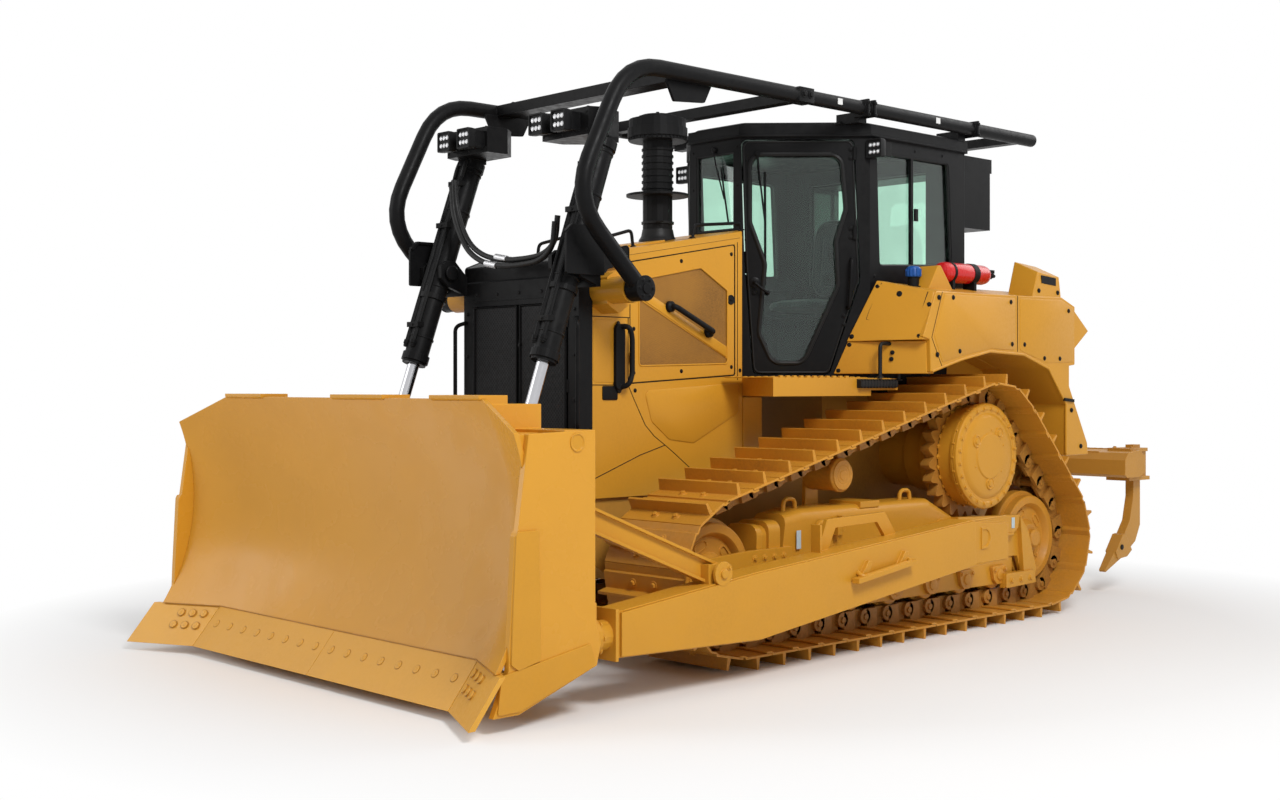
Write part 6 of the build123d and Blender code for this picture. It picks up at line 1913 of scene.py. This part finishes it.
@dataclass(frozen=True)
class Rear:
    """Tank seams and cap, decks' grit plates and teeth, and the cooler box's louvres.

    Args:
        body: the body that carries them.
    """

    body: str = "tractor"

    def tank(self) -> None:
        """Straps, seams, filler, rail and bolts on the tank."""
        lines = [seam([(x, 5.742, 1.47), (x, 5.742, 1.848), (x, 5.3, 2.112), (x, 4.83, 2.112)], 0.006)
            for x in (-0.58, 0.58)]
        build("tank_straps", join(*[box(x - 0.03, x + 0.03, 5.741, 5.747, 1.475, 1.84) for x in (-0.5, 0.5)],
            *lines), SATIN_BLACK, self.body, 0.001)
        neck = turned(mm("0 70, 12 70, 14 55, 50 52, 56 60, 82 60, 90 50, 92 12"), at(0.0, 5.05, 2.108), UP,
            40)
        heads = bolts(spots([(0.105 * math.cos(a) * 0.58, 5.05 + 0.061 * math.sin(a), 2.12)
            for a in np.linspace(0, 5.236, 6)]), UP, 0.007, 0.006)
        build("tank_filler", join(neck, heads), SATIN_BLACK, self.body, 0.001)
        slope = np.array([0.0, 0.509, 0.8608])
        rail = bent_bar(mm("-300 5640 1912, -300 5690 1985, 300 5690 1985, 300 5640 1912"), 0.012, 0.04)
        plate = bolts(spots([(x, 5.52, 1.9786) for x in (-0.4, -0.2, 0.0, 0.2, 0.4)]), slope, 0.01, 0.008)
        build("tank_rail", join(rail, plate), YELLOW, self.body, 0.001)

    def box(self) -> None:
        """Louvred sheets and bolts on the rear box."""
        slats = [across(((5.15, z), (5.158, z - 0.004), (5.158, z - 0.012), (5.15, z - 0.01)), -0.3, 0.3)
            for z in np.arange(3.015, 3.085, 0.018)]
        side = [box(x0, x1, 5.13, 5.137, z, z + 0.012) for x0, x1 in mm("-750 -590, 590 750")
            for z in np.arange(2.64, 2.96, 0.03)]
        heads = bolts(spots([(x, 5.13, z) for x in (-0.765, -0.575, 0.575, 0.765) for z in (2.62, 2.97)]),
            BACK, 0.008, 0.006)
        top = bolts(spots([(x, s, 3.09) for x in (-0.74, -0.25, 0.25, 0.74) for s in (4.86, 5.11)]), UP,
            0.008, 0.006)
        build("rear_box_trim", join(*slats, *side, heads, top), BLACK, self.body, 0.001)

    def decks(self) -> None:
        """Raised grit strips with rows of studs on the running boards."""
        parts = []
        for s0, s1 in mm("2720 2980, 3020 3280, 3320 3600"):
            x0 = max(0.53, 0.26 + (s1 - 3.2) * 1.0 + 0.06)
            parts.append(upright(rounded(((x0, s0), (0.93, s0), (0.93, s1), (x0, s1)), 0.02), 1.574, 1.579))
            rows = np.array([(x, s) for x in np.arange(x0 + 0.04, 0.92, 0.055)
                for s in np.arange(s0 + 0.035, s1 - 0.02, 0.055)])
            stud = turned(mm("0 14, 4 12, 5 8"), np.zeros(3), UP, 10)
            parts.append(copies(stud, spots(np.column_stack([rows, np.full(len(rows), 1.5785)]))))
        build("deck_grit", both(join(*parts)), YELLOW, self.body)

    def make(self) -> None:
        """Build every piece of the machine's rear and decks."""
        self.tank()
        self.box()
        self.decks()


# ---- ripper
@dataclass(frozen=True)
class Ripper:
    """Pin heads, ram hoses, shank keepers and weld seams of the ripper's linkage.

    Args:
        low: lower pins at the bracket and at the beam, station and height.
        high: upper pins at the bracket and at the beam.
        shanks: widths of the shanks.
    """

    low: Rows = mm("5800 560, 6500 750")
    high: Rows = mm("5800 960, 6500 1150")
    shanks: tuple[float, ...] = (-0.95, 0.0, 0.95)

    def head(self, x: float, place: Pair, sign: int = 1) -> Shell:
        """Pin head with its keeper bar and bolt."""
        cap = turned(mm("-2 46, 14 46, 18 40, 18 15"), at(x, *place), (sign, 0, 0), 28)
        bar = box(min(x, x + sign * 0.012), max(x, x + sign * 0.012), place[0] - 0.022, place[0] + 0.022,
            place[1] + 0.04, place[1] + 0.095)
        keep = bolts(spots([(x + sign * 0.012, place[0], place[1] + 0.076)]), (sign, 0, 0), 0.01, 0.008)
        return join(cap, bar, keep)

    def make(self) -> None:
        """Build the ripper's fittings on the bodies that carry them."""
        # The ripper's pins and beam fittings take the darker yellow copy, painted shade.
        fixed = join(self.head(0.42, self.low[0]), self.head(0.14, self.high[0]))
        build("ripper_bracket_pins", both(fixed), SHADED_YELLOW, "tractor", 0.001)
        moving = join(self.head(0.42, self.low[1]), self.head(0.14, self.high[1]))
        keepers = []
        for x in self.shanks:
            keepers.append(turned(mm("0 30, 16 30, 20 24"), at(x + 0.07, 6.76, 0.94), LEFT, 26))
            keepers.append(turned(mm("0 30, 16 30, 20 24"), at(x - 0.07, 6.76, 0.94), (-1, 0, 0), 26))
            keepers.append(bolts(spots([(x + d, 6.62, 1.062) for d in (-0.07, 0.07)]), UP, 0.012, 0.012))
        runs = [(s, z) for s, z in mm("6462 1034, 6640 1052")]
        beads = []
        for s, z in runs:
            for x0, x1 in mm("-840 -280, 280 840"):
                path = row((x0, s, z), (x1, s, z), 30)
                path[:, 2] += 0.0008 * np.cos(np.arange(30) * 2.3)
                beads.append(piped(path, 0.005, 8))
        build("ripper_beam_fittings", join(both(moving), *keepers, *beads), SHADED_YELLOW, "ripper_beam",
            0.001)
        hoses = []
        for dx in (-0.03, 0.03):
            hoses.append(piped(curve(spots(((0.205 + dx, 5.85, 0.755), (0.205 + dx, 5.865, 0.8),
                (0.205 + dx, 5.845, 0.86), (0.205 + dx, 5.79, 0.9), (0.205 + dx, 5.728, 0.905))), 8), 0.012,
                12))
        build("ripper_hoses", both(join(*hoses)), HOSE, "tractor")
        shank = [turned(mm("0 20, 6 20, 8 15"), at(x + sign * 0.044, 6.52, 0.33), (sign, 0, 0), 20)
            for x in self.shanks for sign in (1, -1)]
        build("ripper_tip_pins", join(*shank), SATIN_BLACK, "ripper_beam")


# ---- stage
@dataclass(frozen=True)
class Studio:
    """Pale floor, soft lamps and the camera.

    Args:
        eye: camera's place.
        heading: its turn from straight rearwards towards the machine's right, in degrees.
        lens: focal length in millimetres on a 36 mm frame.
        rise: vertical shift of the frame.
    """

    eye: tuple[float, float, float] = (6.93, -7.41, 1.523)
    heading: float = 46.7
    lens: float = 43.65
    rise: float = -0.0106

    def camera(self) -> None:
        """A level camera at the front left."""
        lens = bpy.data.cameras.new("camera")
        lens.lens, lens.sensor_width, lens.shift_y = self.lens, 36.0, self.rise
        lens.clip_end = 200.0
        view = bpy.data.objects.new("camera", lens)
        view.location = self.eye
        view.rotation_euler = (math.radians(90), 0, math.radians(self.heading))
        bpy.context.scene.collection.objects.link(view)
        bpy.context.scene.camera = view

    def lamp(self, name: str, place: tuple[float, float, float], size: float, power: float) -> None:
        """A square soft lamp aimed at the machine's middle."""
        light = bpy.data.lights.new(name, "AREA")
        light.size, light.energy = size, power
        thing = bpy.data.objects.new(name, light)
        thing.location = place
        aim = np.array([0.0, 0.0, 1.2]) - np.array(place)
        thing.rotation_euler = (math.pi - math.acos(aim[2] / np.linalg.norm(aim)), 0,
            math.atan2(aim[1], aim[0]) - math.pi / 2)
        bpy.context.scene.collection.objects.link(thing)

    def floor(self) -> None:
        """Matt pale floor that fades into white well away from the machine."""
        reach = 60.0
        mesh = bpy.data.meshes.new("floor")
        mesh.from_pydata([(-reach, -reach, 0), (reach, -reach, 0), (reach, reach, 0), (-reach, reach, 0)], [],
            [(0, 1, 2, 3)])
        ground = bpy.data.objects.new("floor", mesh)
        bpy.context.scene.collection.objects.link(ground)
        material = bpy.data.materials.new("pale_floor")
        material.use_nodes = True
        tree = material.node_tree
        shader = tree.nodes["Principled BSDF"]
        shader.inputs["Base Color"].default_value = (0.86, 0.86, 0.86, 1)
        shader.inputs["Roughness"].default_value = 0.75
        place = tree.nodes.new("ShaderNodeTexCoord").outputs["Object"]
        length = tree.nodes.new("ShaderNodeVectorMath")
        length.operation = "LENGTH"
        tree.links.new(place, length.inputs[0])
        far = Nodes(tree).ranged(length.outputs["Value"], 3.2, 5.0, 0.0, 1.0)
        glow = tree.nodes.new("ShaderNodeEmission")
        mix = tree.nodes.new("ShaderNodeMixShader")
        tree.links.new(far, mix.inputs[0])
        tree.links.new(shader.outputs[0], mix.inputs[1])
        tree.links.new(glow.outputs[0], mix.inputs[2])
        tree.links.new(mix.outputs[0], tree.nodes["Material Output"].inputs["Surface"])
        mesh.materials.append(material)

    def world(self) -> None:
        """White where it is seen, mirrored or seen through glass, and softer as light."""
        world = bpy.data.worlds.new("studio")
        bpy.context.scene.world = world
        world.use_nodes = True
        tree = world.node_tree
        tree.nodes.clear()
        out = tree.nodes.new("ShaderNodeOutputWorld")
        path = tree.nodes.new("ShaderNodeLightPath")
        nodes = Nodes(tree)
        seen = nodes.math("MAXIMUM", path.outputs["Is Camera Ray"], path.outputs["Is Transmission Ray"])
        seen = nodes.math("MAXIMUM", seen, path.outputs["Is Glossy Ray"])
        light, white = tree.nodes.new("ShaderNodeBackground"), tree.nodes.new("ShaderNodeBackground")
        light.inputs["Color"].default_value = white.inputs["Color"].default_value = (1.0, 1.0, 1.0, 1.0)
        light.inputs["Strength"].default_value = 0.36
        mix = tree.nodes.new("ShaderNodeMixShader")
        tree.links.new(seen, mix.inputs[0])
        tree.links.new(light.outputs[0], mix.inputs[1])
        tree.links.new(white.outputs[0], mix.inputs[2])
        tree.links.new(mix.outputs[0], out.inputs["Surface"])

    def make(self) -> None:
        """Set up the whole studio."""
        self.camera()
        self.floor()
        self.world()
        self.lamp("key", (8.0, -3.5, 8.0), 3.0, 740.0)
        self.lamp("fill", (-5.0, -9.0, 5.0), 5.0, 200.0)
        self.lamp("back", (3.0, 9.0, 7.0), 6.0, 260.0)
        bpy.context.scene.view_settings.view_transform = "Standard"


def main() -> None:
    """Build the machine's looks in order."""
    logging.basicConfig(level=logging.INFO, format="%(name)s %(message)s")
    Studio().make()
    dress_frame()
    for part in (Tracks(), Wheels(), TrackFrames(), Blade(), PushArms(), Hood(), EngineDoors(), Grille(),
            LiftCylinders(), GuardTubes(), Cab(), DriversPlace(), Fenders(), Rear(), Ripper()):
        LOG.info("making %s", type(part).__name__)
        part.make()


if __name__ == "__main__":
    main()
